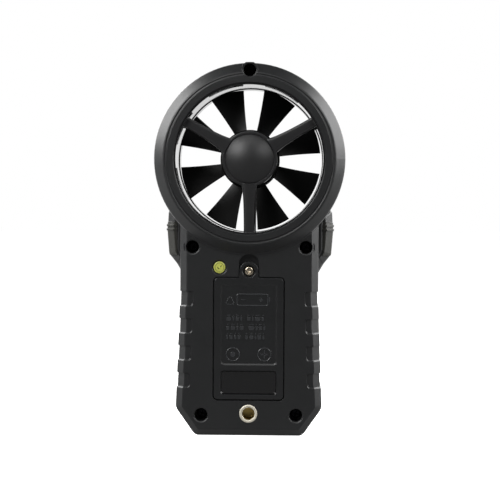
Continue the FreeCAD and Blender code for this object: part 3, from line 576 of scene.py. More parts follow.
# The hub caps are satin too, with a slightly broader highlight.
ABS_CAP = Finish("abs_black_cap_moulded", "#161617", "#1b1b1c", Making.TEXTURED, 0.44, ior=1.53,
                 grain=0.22, depth=0.005, spread=0.04)
# The vane is thin nylon, matt and a deeper black than the housing.
NYLON_VANE = Finish("nylon_black_vane_moulded", "#040404", "#060606", Making.TEXTURED, 0.70, ior=1.53,
                    grain=0.25, depth=0.006, specular=0.16)
# The vents' ABS is dyed a little olive, so it looks warmer than the shells beside it.
ABS_OLIVE = Finish("abs_olive_grey_vent_moulded", "#1d1d18", "#23231c", Making.TEXTURED, 0.45, ior=1.53,
                   grain=0.3, depth=0.010, edge_colour="#38382b")
# Moulded silicone spreads the light evenly: a soft grey with no sharp highlight.
SILICONE_GREY = Finish("silicone_grey_key_moulded", "#4c4e51", "#54565a", Making.RUBBER, 0.62, ior=1.43,
                       grain=0.2, depth=0.008)
# The power key is the same silicone dyed through, a flat warm red.
SILICONE_RED = Finish("silicone_red_key_moulded", "#a3211b", "#ad2a22", Making.RUBBER, 0.60, ior=1.43,
                      grain=0.2, depth=0.008)
# The mat under the keys is undyed, pale and slightly cloudy.
SILICONE_MAT = Finish("silicone_pale_mat_moulded", "#8d8d8a", "#999995", Making.RUBBER, 0.65, ior=1.43)
# Fascia film is printed from behind under a fine matt skin: an even slate with a soft sheen.
POLYCARBONATE_FILM = Finish("polycarbonate_film_printed", "#26292d", "#2b2e33", Making.PRINTED, 0.38,
                            ior=1.58, grain=0.5, depth=0.003)
# Screen ink dries flat and opaque, an off-white a little duller than the film round it.
PRINT_WHITE = Finish("screen_ink_white_printed", "#d9dad6", "#cfd0cc", Making.PRINTED, 0.50, grain=0.3,
                     depth=0.003)
# Ink on a battery's sleeve: a warm ochre with some of the sleeve's shine.
PRINT_OCHRE = Finish("film_ink_ochre_printed", "#b9832c", "#c28c34", Making.PRINTED, 0.34, grain=0.3,
                     depth=0.003)
# Driven segments block the light, so they look like dark grey ink on the glass.
LCD_INK = Finish("lcd_segment_dark", "#23272a", "#1d2124", Making.PRINTED, 0.40, grain=0.5, depth=0.001)
# Polished acrylic is clear and colourless, with one sharp reflection.
ACRYLIC_CLEAR = Finish("acrylic_clear_polished", "#f4f7f6", "#f0f5f3", Making.POLISHED, 0.04, ior=1.49,
                       grain=3.0, depth=0.001, spread=0.01, transmission=1.0)
# Polariser over liquid crystal gives glass the greenish grey of a resting display.
LCD_GLASS = Finish("lcd_glass_polarised", "#9aa48c", "#a1ab93", Making.POLISHED, 0.22, grain=2.0,
                   depth=0.001, spread=0.03)
# The display's frame is an opaque, evenly bright white, with a fine texture that kills glare.
POLYCARBONATE_WHITE = Finish("polycarbonate_white_moulded", "#cfcfc9", "#d8d8d2", Making.TEXTURED, 0.42,
                             ior=1.58)
# A light guide looks milky and faintly green through its thickness.
LIGHT_GUIDE = Finish("acrylic_light_guide_moulded", "#dfe6e0", "#d5ddd6", Making.POLISHED, 0.12, ior=1.49,
                     grain=1.0, depth=0.003)
# Contact strips alternate conducting and plain layers too fine to tell apart, a streaky mauve grey.
SILICONE_LAYERED = Finish("silicone_layered_contact", "#8a7f8c", "#a79ba9", Making.RUBBER, 0.55, ior=1.43)
# Solder mask flows over the glass weave: deep green with a wet shine.
SOLDER_MASK = Finish("glass_epoxy_green_solder_mask", "#0e5a2c", "#136534", Making.PRINTED, 0.30,
                     grain=1.1, depth=0.012, coat=0.4)
# Chip packages are filled epoxy, a fine-grained matt black.
EPOXY_BLACK = Finish("epoxy_black_component_moulded", "#17181a", "#1e1f22", Making.TEXTURED, 0.50,
                     grain=0.15, depth=0.004)
# Fired ceramic is a dense, dry off-white.
CERAMIC_WHITE = Finish("ceramic_white_fired", "#d8d8d2", "#cfcfc8", Making.TEXTURED, 0.45, grain=0.12,
                       depth=0.003)
# Extruded PVC leaves the die smooth, so the cable and the leads have a waxy shine.
PVC_GREY = Finish("pvc_grey_extruded", "#56585b", "#5e6063", Making.POLISHED, 0.40, grain=0.6)
PVC_RED = Finish("pvc_red_extruded", "#9f1813", "#a92019", Making.POLISHED, 0.38, grain=0.6)
PVC_BLACK = Finish("pvc_black_extruded", "#141415", "#1a1a1b", Making.POLISHED, 0.38, grain=0.6)
# The battery clip is soft vinyl, duller than the leads that come out of it.
VINYL_CLIP = Finish("vinyl_black_moulded", "#181819", "#1f1f20", Making.TEXTURED, 0.55, grain=0.3)
# Grinding leaves fine rings round the spindle, which stretch its highlight.
STEEL_GROUND = Finish("steel_ground", "#b9babb", "#c3c4c5", Making.TURNED, 0.24, metallic=1.0, grain=0.12,
                      depth=0.003)
# Lapped bearing steel is close to a mirror.
STEEL_BEARING = Finish("bearing_steel_polished", "#c2c3c4", "#cbcccd", Making.POLISHED, 0.12, metallic=1.0,
                       grain=0.8, depth=0.001, spread=0.03)
# Nickel over steel is a warm silver, brighter where its edges are rubbed.
STEEL_NICKEL = Finish("steel_nickel_plated", "#b9ad98", "#c6bba7", Making.PLATED, 0.24, metallic=1.0,
                      grain=0.22, depth=0.004, edge_colour="#e2dfd8", edge_radius=0.08)
# Black zinc leaves the case screws nearly black, with a silky metal shine.
STEEL_BLACK = Finish("steel_black_zinc_plated", "#1c1c1f", "#26262a", Making.PLATED, 0.38, metallic=1.0,
                     grain=0.2, depth=0.004, edge_radius=0.08)
# Turned brass is yellow, with tool rings that break its highlight.
BRASS = Finish("brass_turned", "#b8a165", "#a89055", Making.TURNED, 0.34, metallic=1.0, grain=0.16,
               depth=0.005, edge_radius=0.08)
# A dull nickel over the same brass hides the yellow: a pale face with a broad, soft sheen.
BRASS_NICKEL = Finish("brass_nickel_plated_turned", "#e8e2d2", "#f0ebdc", Making.TURNED, 0.56,
                      metallic=1.0, grain=0.14, depth=0.005, edge_radius=0.1)
# Plated magnets are a plain, slightly cloudy silver.
MAGNET = Finish("magnet_nickel_plated", "#b4b5b6", "#bfc0c1", Making.PLATED, 0.30, metallic=1.0, grain=0.3)
# Film shrunk tight on the battery's can: dark, smooth and glossy.
BATTERY_FILM = Finish("battery_film_printed", "#202327", "#272a2f", Making.PRINTED, 0.30, grain=0.6,
                      coat=0.3)
# Varnished paper: yellow-green, with the paper's tooth just showing in the gloss.
SEAL_PAPER = Finish("paper_seal_varnished", "#b4b850", "#c3c75c", Making.PRINTED, 0.38, grain=0.4,
                    depth=0.010, coat=0.5)
# The seal's ink sinks into the paper, a dark olive without the varnish's shine.
SEAL_INK = Finish("seal_ink_printed", "#3c4020", "#454a26", Making.PRINTED, 0.45, grain=0.3)

SLOT_FINISH = {
    "housing_plastic": ABS_TEXTURED, "cover_plastic": ABS_COVER, "duct_plastic": ABS_POLISHED,
    "cap_plastic": ABS_CAP, "impeller_plastic": NYLON_VANE, "vent_plastic": ABS_OLIVE,
    "key_rubber": SILICONE_GREY, "power_rubber": SILICONE_RED, "mat_rubber": SILICONE_MAT,
    "fascia_film": POLYCARBONATE_FILM, "window_clear": ACRYLIC_CLEAR, "lcd_glass": LCD_GLASS,
    "frame_plastic": POLYCARBONATE_WHITE, "backlight_plastic": LIGHT_GUIDE,
    "contact_rubber": SILICONE_LAYERED, "circuit_board": SOLDER_MASK, "component_black": EPOXY_BLACK,
    "sensor_white": CERAMIC_WHITE,
    "cable_grey": PVC_GREY, "lead_red": PVC_RED, "lead_black": PVC_BLACK, "spindle_steel": STEEL_GROUND,
    "bearing_steel": STEEL_BEARING, "brass": BRASS, "nickel_steel": STEEL_NICKEL, "black_steel": STEEL_BLACK,
    "magnet_metal": MAGNET, "battery_metal": BATTERY_FILM, "terminal_metal": STEEL_NICKEL,
    "clip_vinyl": VINYL_CLIP, "seal_paper": SEAL_PAPER,
}


# ------------------------------------------------------------------------------ pieces and the frame
def make_piece(name: str, surfaces: Sequence[Surface], finishes: Sequence[Finish], body: str,
               stands_for: Sequence[str] = ()) -> bpy.types.Object:
    """Makes one mesh of several surfaces, closes and shades it, and puts it on a CAD body.

    Args:
        name: the piece's name.
        surfaces: its parts, in millimetres.
        finishes: its materials, in the order that the surfaces number them.
        body: the CAD body it rides on.
        stands_for: the CAD nodes that it replaces.

    Returns:
        The object, at the origin, with its place in its mesh.
    """
    starts = np.cumsum([0] + [len(s.points) for s in surfaces])
    points = np.concatenate([s.points for s in surfaces]) * MM
    quads = np.concatenate([s.quads + o for s, o in zip(surfaces, starts)])
    tris = np.concatenate([s.tris + o for s, o in zip(surfaces, starts)])
    corner = np.concatenate([quads.ravel(), tris.ravel()]).astype(np.int32)
    totals = np.concatenate([np.full(len(quads), 4), np.full(len(tris), 3)]).astype(np.int32)
    slots = np.concatenate([np.full(len(s.quads), s.material) for s in surfaces]
                           + [np.full(len(s.tris), s.material) for s in surfaces]).astype(np.int32)
    mesh = bpy.data.meshes.new(name)
    mesh.vertices.add(len(points))
    mesh.vertices.foreach_set("co", points.ravel().astype(np.float32))
    mesh.loops.add(len(corner))
    mesh.loops.foreach_set("vertex_index", corner)
    mesh.polygons.add(len(totals))
    mesh.polygons.foreach_set("loop_start", np.concatenate([[0], np.cumsum(totals)[:-1]]).astype(np.int32))
    mesh.polygons.foreach_set("material_index", slots)
    mesh.update(calc_edges=True)
    work = bmesh.new()
    work.from_mesh(mesh)
    bmesh.ops.recalc_face_normals(work, faces=work.faces)
    work.to_mesh(mesh)
    work.free()
    mesh.shade_smooth()
    mesh.set_sharp_from_angle(angle=SMOOTH_BELOW)
    for finish in finishes:
        mesh.materials.append(finish.build())
    piece = bpy.data.objects.new(name, mesh)
    bpy.context.scene.collection.objects.link(piece)
    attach(piece, body)
    if stands_for:
        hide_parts(*stands_for)
    LOG.info("%s: %d faces on %s", name, len(totals), body)
    return piece


@dataclass(frozen=True)
class NodeBox:
    """A CAD node's box at rest: its lowest and highest corners, in millimetres."""

    low: Vector
    high: Vector

    @property
    def middle(self) -> Point:
        """The box's middle as (x, z)."""
        return (self.low.x + self.high.x) / 2, (self.low.z + self.high.z) / 2

    @property
    def size(self) -> Point:
        """The box's width along X and height along Z."""
        return self.high.x - self.low.x, self.high.z - self.low.z


def node_box(name: str) -> NodeBox:
    """The box of the CAD node of that name."""
    low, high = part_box(name)
    return NodeBox(low / MM, high / MM)


def joint_place(name: str) -> Vector:
    """The place of the record's joint of that name, in millimetres."""
    joint = next(j for j in frame["joints"] if j["name"] == name)
    return Vector(joint["pos_m"]) / MM


AXIS = joint_place("vane_spin")
CENTRE = (AXIS.x, AXIS.z)


class Carried:
    """The CAD nodes themselves, most of which have the right shape already."""

    def build(self) -> None:
        """Gives every CAD node the finish of its record's slot."""
        slots = {s["node"]: s["material_slot"] for s in frame["record"]["subparts"]}
        for name, node in frame["nodes"].items():
            finish = SLOT_FINISH[slots[name]]
            node.data.materials.clear()
            node.data.materials.append(finish.build())
            LOG.info("%s: %s", name, finish.name)


# -------------------------------------------------------------------------------- wind duct and vane
@dataclass
class Duct:
    """The wind duct: a polished liner between two spiders, each with its hub cap.

    The joint lines are at half, the rings' faces at face and the hubs' faces at hub_face from the middle
    plane. A bearing sits in each hub behind a lip, and the cap lies in a seat over it.
    """

    bore: float = 32.75
    ring_bore: float = 32.4
    outside: float = 33.9
    half: float = 10.0
    face: float = 18.2
    hub_radius: float = 12.2
    hub_face: float = 15.6
    hub_inner: float = 8.2
    bearing_radius: float = 3.0
    bearing_end: float = 9.75
    lip_radius: float = 2.35
    pocket_radius: float = 10.0
    pocket_floor: float = 13.0
    seat_floor: float = 15.0
    seat_gap: float = 0.1
    upper_legs: tuple[float, ...] = (30.0, 150.0)
    lower_leg: float = 270.0
    leg_span: tuple[float, float] = (10.9, 33.3)
    leg_faces: tuple[float, float] = (12.8, 16.0)
    cap_radius: float = 10.8
    cap_rise: float = 3.25
    cap_edge: float = 0.25

    def leg(self, angle: float, rim_half: float, flare: float, side: int) -> Surface:
        """One leg: a rounded box section carried outward from the hub to the ring.

        The half width is the rim's, plus a flare that dies away exponentially from the hub, plus a short
        one that grows exponentially into the ring. The section is a superellipse of exponent 4, so its
        long edges are softly rounded.

        Args:
            angle: where the leg points, in degrees from +X towards +Z.
            rim_half: half its width at the rim.
            flare: what the hub's end adds to that.
            side: -1 for the back, 1 for the front.

        Returns:
            The surface, closed at both ends.
        """
        root, end = self.leg_span
        radius = np.linspace(root, end, 34)[:, None]
        at_hub, at_rim = np.exp(-(radius - self.hub_radius) / 6.0), np.exp((radius - end) / 0.7)
        half = rim_half + flare * at_hub + 0.35 * at_rim
        turn = whole_turn(56)[None]
        across = squared_off(np.cos(turn), 0.5) * half
        middle, deep = sum(self.leg_faces) / 2, (self.leg_faces[1] - self.leg_faces[0]) / 2
        y = side * (middle + squared_off(np.sin(turn), 0.5) * deep)
        a = math.radians(angle)
        x = CENTRE[0] + radius * math.cos(a) - across * math.sin(a)
        z = CENTRE[1] + radius * math.sin(a) + across * math.cos(a)
        return from_grid(points_at(x, y, z), caps=True)

    def hub(self, side: int) -> Surface:
        """A spider's hub with its bearing's bore and its cap's seat, on the side of Y given by the sign."""
        seat_radius = self.cap_radius + self.seat_gap
        corners = [
            (self.bearing_radius, self.pocket_floor, 0.0), (self.pocket_radius, self.pocket_floor, 0.2),
            (self.pocket_radius, self.seat_floor, 0.0), (seat_radius, self.seat_floor, 0.0),
            (seat_radius, self.hub_face, 0.12), (self.hub_radius, self.hub_face, 0.5),
            (self.hub_radius, self.hub_inner, 0.4), (self.lip_radius, self.hub_inner, 0.1),
            (self.lip_radius, self.bearing_end, 0.0), (self.bearing_radius, self.bearing_end, 0.0)]
        return turned(soft_profile([(r, side * y, soft) for r, y, soft in corners]), CENTRE, 160)

    def spider(self, name: str, side: int) -> None:
        """Builds one spider: its ring, its hub and its three legs.

        Args:
            name: the CAD node that it replaces.
            side: -1 for the back, 1 for the front.
        """
        joint, face = side * self.half, side * self.face
        ring = soft_profile([(self.ring_bore, joint, 0.12), (self.ring_bore, face, 0.3),
                             (self.outside, face, 0.12), (self.outside, joint, 0.0)])
        parts = [turned(ring, CENTRE, 256, material=1), self.hub(side)]
        parts += [self.leg(angle, 2.2, 1.3, side) for angle in self.upper_legs]
        parts.append(self.leg(self.lower_leg, 2.35, 0.95, side))
        make_piece(name + "_moulding", parts, [ABS_SATIN, ABS_POLISHED], "housing", [name])

    def cap(self, name: str, side: int) -> None:
        """Builds one hub cap: a shallow part of a sphere with a small round at its rim and a closed back.

        Args:
            name: the CAD node that it replaces.
            side: -1 for the back, 1 for the front.
        """
        ball = (self.cap_radius ** 2 + self.cap_rise ** 2) / (2 * self.cap_rise)
        lean = np.linspace(0.02, math.asin((self.cap_radius - self.cap_edge) / ball), 26)
        top, back = self.hub_face + self.cap_rise, self.hub_face - 0.5
        dome = np.stack([ball * np.sin(lean), top - ball * (1 - np.cos(lean))], axis=1)
        last = dome[-1]
        rim = soft_profile([(last[0], last[1], 0), (self.cap_radius, last[1] - self.cap_edge, 0.2),
                            (self.cap_radius, back, 0.1), (0.3, back, 0)], closed=False)
        profile = np.concatenate([dome, rim[1:]])
        profile[:, 1] *= side
        make_piece(name + "_dome", [turned(profile, CENTRE, 160, closed=False, caps=True)], [ABS_CAP],
                   "housing", [name])

    def liner(self) -> None:
        """Builds the liner between the spiders, its ends eased so that a fine joint line shows at each."""
        profile = soft_profile([(self.bore, -self.half, 0.16), (self.bore, self.half, 0.16),
                                (self.outside, self.half, 0.05), (self.outside, -self.half, 0.05)])
        make_piece("duct_liner", [turned(profile, CENTRE, 256)], [ABS_POLISHED], "housing",
                   ["wind_duct"])

    def build(self) -> None:
        """Builds the duct's pieces, back and front."""
        for where, side in (("rear", -1), ("front", 1)):
            self.spider(where + "_spider", side)
            self.cap(where + "_hub_cap", side)
        self.liner()


@dataclass
class Vane:
    """The eight-blade impeller on its hub. Of a blade's paired sizes, the first is at the hub."""

    blades: int = 8
    first_blade: float = 19.8
    span: tuple[float, float] = (12.6, 31.65)
    arcs: tuple[float, float] = (23.0, 27.8)
    depths: tuple[float, float] = (9.0, 10.0)
    thickness: tuple[float, float] = (1.15, 0.7)
    camber: float = 0.55
    tip_share: float = 0.06
    closing_share: float = 0.015
    hub_radius: float = 13.2
    hub_half: float = 6.5
    cup_radius: float = 11.6
    cup_floor: float = -4.9
    boss_radius: float = 2.6
    boss_end: float = 5.6
    shaft_radius: float = 1.01
    groove: tuple[float, float] = (2.4, 10.4)
    groove_depth: float = 0.5

    def blade(self, middle: float) -> Surface:
        """One pitched blade: a thin rounded section carried from the hub to the tip.

        At radius r the section's middle line runs from -arc/2 to +arc/2 round the axis while it falls from
        +depth/2 to -depth/2 along Y, bowed by the camber; the skin stands off that line by half the
        thickness times a rounded profile, and the thickness closes along a quarter circle at the tip.

        Args:
            middle: the blade's angle round the axis, in degrees.

        Returns:
            The surface, closed at both ends.
        """
        straight = 1 - self.tip_share
        tip = straight + self.tip_share * np.sin(np.linspace(0, 1, 6)[1:] * math.pi / 2)
        share = np.concatenate([np.linspace(0, straight, 15), tip])[:, None]
        radius, arc, depth, thick = (a + (b - a) * share for a, b in
                                     (self.span, self.arcs, self.depths, self.thickness))
        half_arc = np.radians(arc) / 2
        near_end = np.clip((share - 1 + self.closing_share) / self.closing_share, 0, 0.97)
        closing = np.sqrt(1 - near_end ** 2)
        turn = whole_turn(44)[None]
        chord = np.cos(turn)
        off = squared_off(np.sin(turn), 0.45) * thick / 2 * closing
        width = 2 * radius * half_arc
        length = np.hypot(width, depth)
        angle = math.radians(middle) + chord * half_arc + off * depth / length / radius
        y = -chord * depth / 2 + off * width / length - self.camber * (1 - chord ** 2)
        return from_grid(round_line(CENTRE, radius, angle, y), caps=True)

    def hub(self) -> Surface:
        """The hub: a cup open towards +Y with a boss for the spindle and a groove in its closed end."""
        h, cup, boss, shaft = self.hub_half, self.cup_radius, self.boss_radius, self.shaft_radius
        (inner, outer), sunk = self.groove, self.groove_depth - self.hub_half
        return turned(soft_profile([
            (self.hub_radius, -h, 0.9), (self.hub_radius, h, 0.9), (cup, h, 0.3), (cup, self.cup_floor, 0.5),
            (boss, self.cup_floor, 0.2), (boss, self.boss_end, 0.2), (shaft, self.boss_end, 0.0),
            (shaft, -h, 0.0), (inner, -h, 0.2), (inner, sunk, 0.2), (outer, sunk, 0.2),
            (outer, -h, 0.2)]), CENTRE, 128)

    def build(self) -> None:
        """Builds the vane's hub and blades as one piece."""
        parts = [self.hub()]
        parts += [self.blade(self.first_blade + 360.0 / self.blades * k) for k in range(self.blades)]
        make_piece("vane", parts, [NYLON_VANE], "rotor", ["impeller"])


# ----------------------------------------------------------------------------------- turned hardware
@dataclass
class CrossScrew:
    """A pan-head screw with a cross recess, driven from -Y."""

    head_radius: float
    head_height: float
    shank_radius: float
    reach: float
    pitch: float = 0.8
    thread_depth: float = 0.16
    recess_turn: float = 0.4
    sunk: float = 0.05

    def head(self, centre: Point, seat: float) -> Surface:
        """The head.

        Its height over its seat is a quarter superellipse of the radius. The recess lowers it inside a
        plus sign: the product of two soft steps for each arm, deepest in the middle.

        Args:
            centre: the screw's (x, z).
            seat: the y that the head sits on.

        Returns:
            The surface, closed below.
        """
        size = self.head_radius
        radius = size * np.concatenate([np.linspace(0.02, 0.72, 40), np.linspace(0.74, 1.0, 18)])[:, None]
        angle = whole_turn(144)[None]
        dx = np.abs(radius * np.cos(angle + self.recess_turn))
        dz = np.abs(radius * np.sin(angle + self.recess_turn))
        dome = self.head_height * (1 - np.clip(radius / size, 0, 1) ** 5) ** 0.42
        arm, width, soft = size * 0.56, size * 0.13, size * 0.045
        across = soft_step(width - dx, soft) * soft_step(arm - dz, soft)
        along = soft_step(width - dz, soft) * soft_step(arm - dx, soft)
        recess = np.maximum(across, along) * self.head_height * 0.62 * (1 - 0.45 * radius / arm)
        top = round_line(centre, radius, angle, seat - dome + np.clip(recess, 0, None))
        underside = round_line(centre, 0.3, angle, seat)
        return from_grid(np.concatenate([top, underside]), caps=True)

    def shank(self, centre: Point, seat: float) -> Surface:
        """The threaded shank: its radius is a triangle wave of the height less the turn, which is a helix.

        Args:
            centre: the screw's (x, z).
            seat: the y that the head sits on.

        Returns:
            The surface, closed at both ends.
        """
        y = np.linspace(0, self.reach, int(self.reach / self.pitch * 14))[:, None]
        turn = whole_turn(48)[None]
        wave = np.abs(((y / self.pitch - turn / FULL_TURN) % 1.0) * 2 - 1)
        point = np.clip((self.reach - y) / (self.shank_radius * 1.2), 0.15, 1)
        radius = (self.shank_radius - self.thread_depth * wave) * point
        return from_grid(round_line(centre, radius, turn, seat - self.sunk + y), caps=True)

    def surfaces(self, centre: Point, seat: float) -> list[Surface]:
        """The head and the shank of a screw at (x, z), whose head sits at seat."""
        return [self.head(centre, seat), self.shank(centre, seat)]


@dataclass
class Fasteners:
    """The case screws in their wells, the board screws and the cover's captive screw."""

    case: CrossScrew = field(default_factory=lambda: CrossScrew(2.6, 1.85, 1.34, 9.4, 1.0, 0.2))
    board: CrossScrew = field(default_factory=lambda: CrossScrew(2.0, 1.35, 0.98, 4.5))
    cover: CrossScrew = field(default_factory=lambda: CrossScrew(2.2, 1.33, 1.19, 3.65, 0.5, 0.14))
    case_places: tuple[Point, ...] = ((0.0, 161.6), (-25.1, 83.9), (25.1, 83.9), (-21.0, 9.5), (21.0, 9.5))
    board_places: tuple[Point, ...] = ((-25.0, 17.4), (25.0, 17.4), (-25.0, 41.2), (25.0, 41.2))
    under_top: float = 0.05
    cover_seat: float = 1.35

    def build(self) -> None:
        """Builds every screw; each head's seat is worked out from its CAD node's back."""
        for name, kind, places, finish, slot in (
                ("case_screws", self.case, self.case_places, STEEL_BLACK, "black_steel"),
                ("board_screws", self.board, self.board_places, STEEL_NICKEL, "nickel_steel")):
            seat = node_box(name).low.y + kind.head_height + self.under_top
            parts = [part for place in places for part in kind.surfaces(place, seat)]
            make_piece(name + "_driven", parts, [finish], "housing", [name])
        box = node_box("cover_screw")
        make_piece("cover_screw_driven", self.cover.surfaces(box.middle, box.low.y + self.cover_seat),
                   [STEEL_NICKEL], "cover", ["cover_screw"])


@dataclass
class TripodSocket:
    """The turned insert for a camera screw: 20 threads to the inch, a plated face and a blind brass bore."""

    pitch: float = 1.27
    crest: float = 2.56
    thread_depth: float = 0.55
    depth: float = 7.4
    mouth_at: float = 0.35
    mouth_flare: float = 0.12
    segments: int = 128

    def build(self) -> None:
        """Builds the insert.

        In the bore the radius is the crest's plus a raised cosine wave of the height less the turn, which
        makes the thread, and it opens into a plain flare at the mouth. The shell outside shares the bore's
        two end rings.
        """
        box = node_box("tripod_nut")
        back, front, outer = box.low.y, box.high.y, box.size[0] / 2
        turn = whole_turn(self.segments)[None]
        y = np.linspace(back + self.mouth_at, front - 0.02, 118)[:, None]
        wave = 0.5 - 0.5 * np.cos(FULL_TURN * (y / self.pitch - turn / FULL_TURN))
        mouth = np.clip((back + 0.6 - y) / 0.3, 0, 1)
        radius = self.crest + self.thread_depth * wave * (1 - mouth) + self.mouth_flare * mouth
        bore = round_line(box.middle, radius, turn, y)
        face = soft_profile([
            (radius[0].mean(), back + self.mouth_at, 0), (self.crest + 0.3, back + 0.12, 0.1),
            ((self.crest + outer) / 2 + 0.2, back, 0.9), (outer, back + 0.16, 0.2),
            (outer, front, 0.0), (radius[-1].mean(), front, 0)], closed=False)
        ring = round_line(box.middle, face[:, 0, None], turn, face[:, 1, None])
        ring[0], ring[-1] = bore[0], bore[-1]
        floor_edge, wall = (self.crest - 0.9, self.depth), self.crest + 0.3
        plug = np.array([(0.2, self.depth), floor_edge, (wall, self.depth - 0.35), (wall, self.depth + 0.4),
                         (0.2, self.depth + 0.4)]) + (0.0, back)
        parts = [from_grid(ring), from_grid(bore, material=1),
                 turned(plug, box.middle, 96, closed=False, caps=True, material=1)]
        make_piece("tripod_insert", parts, [BRASS_NICKEL, BRASS], "housing", ["tripod_nut"])


# ---------------------------------------------------------------------------------- signs and prints
@dataclass
class Seal:
    """The round inspection seal: a varnished paper disc with a printed ring and tick."""

    ring_share: float = 0.74
    ring_width: float = 0.22
    tick_width: float = 0.34
    tick: tuple[Point, ...] = ((-0.95, 0.05), (-0.3, -0.65), (-0.25, -0.65), (0.95, 0.85))

    def build(self) -> None:
        """Builds the slightly domed disc and its print."""
        box = node_box("inspection_seal")
        back, front, outer = box.low.y, box.high.y, box.size[0] / 2
        profile = soft_profile([(0.3, back, 0), (outer - 0.2, back + 0.05, 0.1), (outer, back + 0.15, 0.05),
                                (outer, front, 0.0), (0.3, front, 0)], closed=False)
        disc = turned(profile, box.middle, 96, closed=False, caps=True)
        marks = Marks(box.middle, back + 0.06, back + 0.005, 0.01, material=1)
        ring = marks.band(circle((0, 0), outer * self.ring_share, count=72), self.ring_width)
        tick = marks.form(stroke(np.array(self.tick), self.tick_width))
        make_piece("seal_disc", [disc, ring, tick], [SEAL_PAPER, SEAL_INK], "housing",
                   ["inspection_seal"])


@dataclass
class CoverRelief:
    """The raised signs in the cover's long recess: how the battery lies, and rows of plain index bars.

    Places are measured from the middle of the cover's foot. A bar's length of 0 leaves a wider space in
    its row.
    """

    recess_floor: float = 0.45
    height: float = 0.3
    edge: float = 0.08
    sign_z: float = 46.6
    battery_x: float = 1.6
    plus_x: float = 5.4
    row_top: float = 38.2
    row_pitch: float = 4.1
    row_left: float = -9.9
    bar_gap: float = 0.55
    word_gap: float = 1.6
    rows: tuple[tuple[float, ...], ...] = ((2.2, 0.8, 1.5, 0.8, 0.0, 1.6, 0.8, 2.4, 1.2),
                                           (1.4, 2.0, 0.8, 1.8, 0.0, 2.6, 0.9, 1.4, 0.9),
                                           (0.8, 1.6, 1.0, 1.2, 0.0, 1.2, 1.8, 0.8, 1.6, 0.8))
    discs_z: float = 22.4
    disc_x: float = 7.0

    def bar(self, marks: Marks, x: float, z: float, width: float, height: float) -> Surface:
        """A raised bar with rounded ends.

        Args:
            marks: the face that it stands on.
            x: its middle.
            z: its middle.
            width: its size along X.
            height: its size along Z.

        Returns:
            The surface.
        """
        return marks.form(soft_box((x, z), (width, height), min(width, height) * 0.35, 4))

    def battery_sign(self, marks: Marks) -> list[Surface]:
        """The battery's outline with its pole, its minus and plus, and an arrowhead that points to it."""
        z = self.sign_z
        parts = [marks.band(soft_box((self.battery_x, z), (13.6, 5.0), 0.8), 0.7),
                 self.bar(marks, 9.1, z, 0.9, 2.2), self.bar(marks, -2.4, z, 2.0, 0.55),
                 self.bar(marks, self.plus_x, z, 2.0, 0.55)]
        parts += [self.bar(marks, self.plus_x, z + up * 0.66, 0.55, 0.74) for up in (-1, 1)]
        arrow = ((-10.3, z - 2.0, 0.5), (-6.3, z - 2.0, 0.5), (-8.3, z + 2.0, 0.5))
        return parts + [marks.band(soft_profile(arrow, steps=5), 0.55)]

    def index_rows(self, marks: Marks) -> list[Surface]:
        """The rows of index bars, each a tall bar under a thin one."""
        parts: list[Surface] = []
        for k, lengths in enumerate(self.rows):
            left, z = self.row_left, self.row_top - self.row_pitch * k
            for length in lengths:
                if length:
                    parts.append(self.bar(marks, left + length / 2, z, length, 1.9))
                    parts.append(self.bar(marks, left + length / 2, z + 1.55, length * 0.7, 0.5))
                left += length + (self.bar_gap if length else self.word_gap)
        return parts

    def discs(self, marks: Marks) -> list[Surface]:
        """Two rings, one round a dot and one round four short bars."""
        x, z = self.disc_x, self.discs_z
        parts = [marks.band(circle((side * x, z), 2.9, count=48), 0.7) for side in (-1, 1)]
        parts.append(marks.form(circle((-x, z), 1.2, count=24)))
        parts += [self.bar(marks, x, z + up, 0.7, 1.5) for up in (1.0, -1.0)]
        return parts + [self.bar(marks, x + right, z, 1.5, 0.7) for right in (1.0, -1.0)]

    def build(self) -> None:
        """Builds the signs, standing on the recess's floor."""
        box = node_box("battery_cover")
        floor = box.low.y + self.recess_floor
        marks = Marks((box.middle[0], box.low.z), floor + 0.05, floor - self.height, self.edge)
        parts = self.battery_sign(marks) + self.index_rows(marks) + self.discs(marks)
        # the signs' lighter grey is a painted highlight on the same black ABS as the cover
        make_piece("cover_relief", parts, [ABS_RELIEF_PAINTED_HIGHLIGHT], "cover")


@dataclass
class BatteryPrint:
    """The print on the battery's sleeve: a broad band, a rule and a mark beside each pole."""

    height: float = 0.03
    margin: float = 1.0
    pole_x: float = 6.5
    sign_size: float = 4.0
    sign_width: float = 1.1

    def build(self) -> None:
        """Builds the print on the face that the open cover shows."""
        box = node_box("battery")
        w, h = box.size
        marks = Marks((box.middle[0], box.low.z), box.low.y + 0.01, box.low.y - self.height, 0.005)
        wide, sign_z = w - 2 * self.margin, h * 0.86
        parts = [marks.form(soft_box((0, h * 0.24), (wide, h * 0.2), 0.4, 4)),
                 marks.form(soft_box((0, h * 0.37), (wide, 0.7), 0.2, 3)),
                 marks.form(soft_box((-self.pole_x, sign_z), (self.sign_size, self.sign_width), 0.2, 3)),
                 marks.form(plus((self.pole_x, sign_z), self.sign_size, self.sign_width))]
        make_piece("battery_print", parts, [PRINT_OCHRE], "housing")


@dataclass(frozen=True)
class Figures:
    """A row of figures on the display: the z of its foot, a figure's size, and each figure with its x."""

    foot: float
    size: Point
    signs: tuple[tuple[str, float], ...]


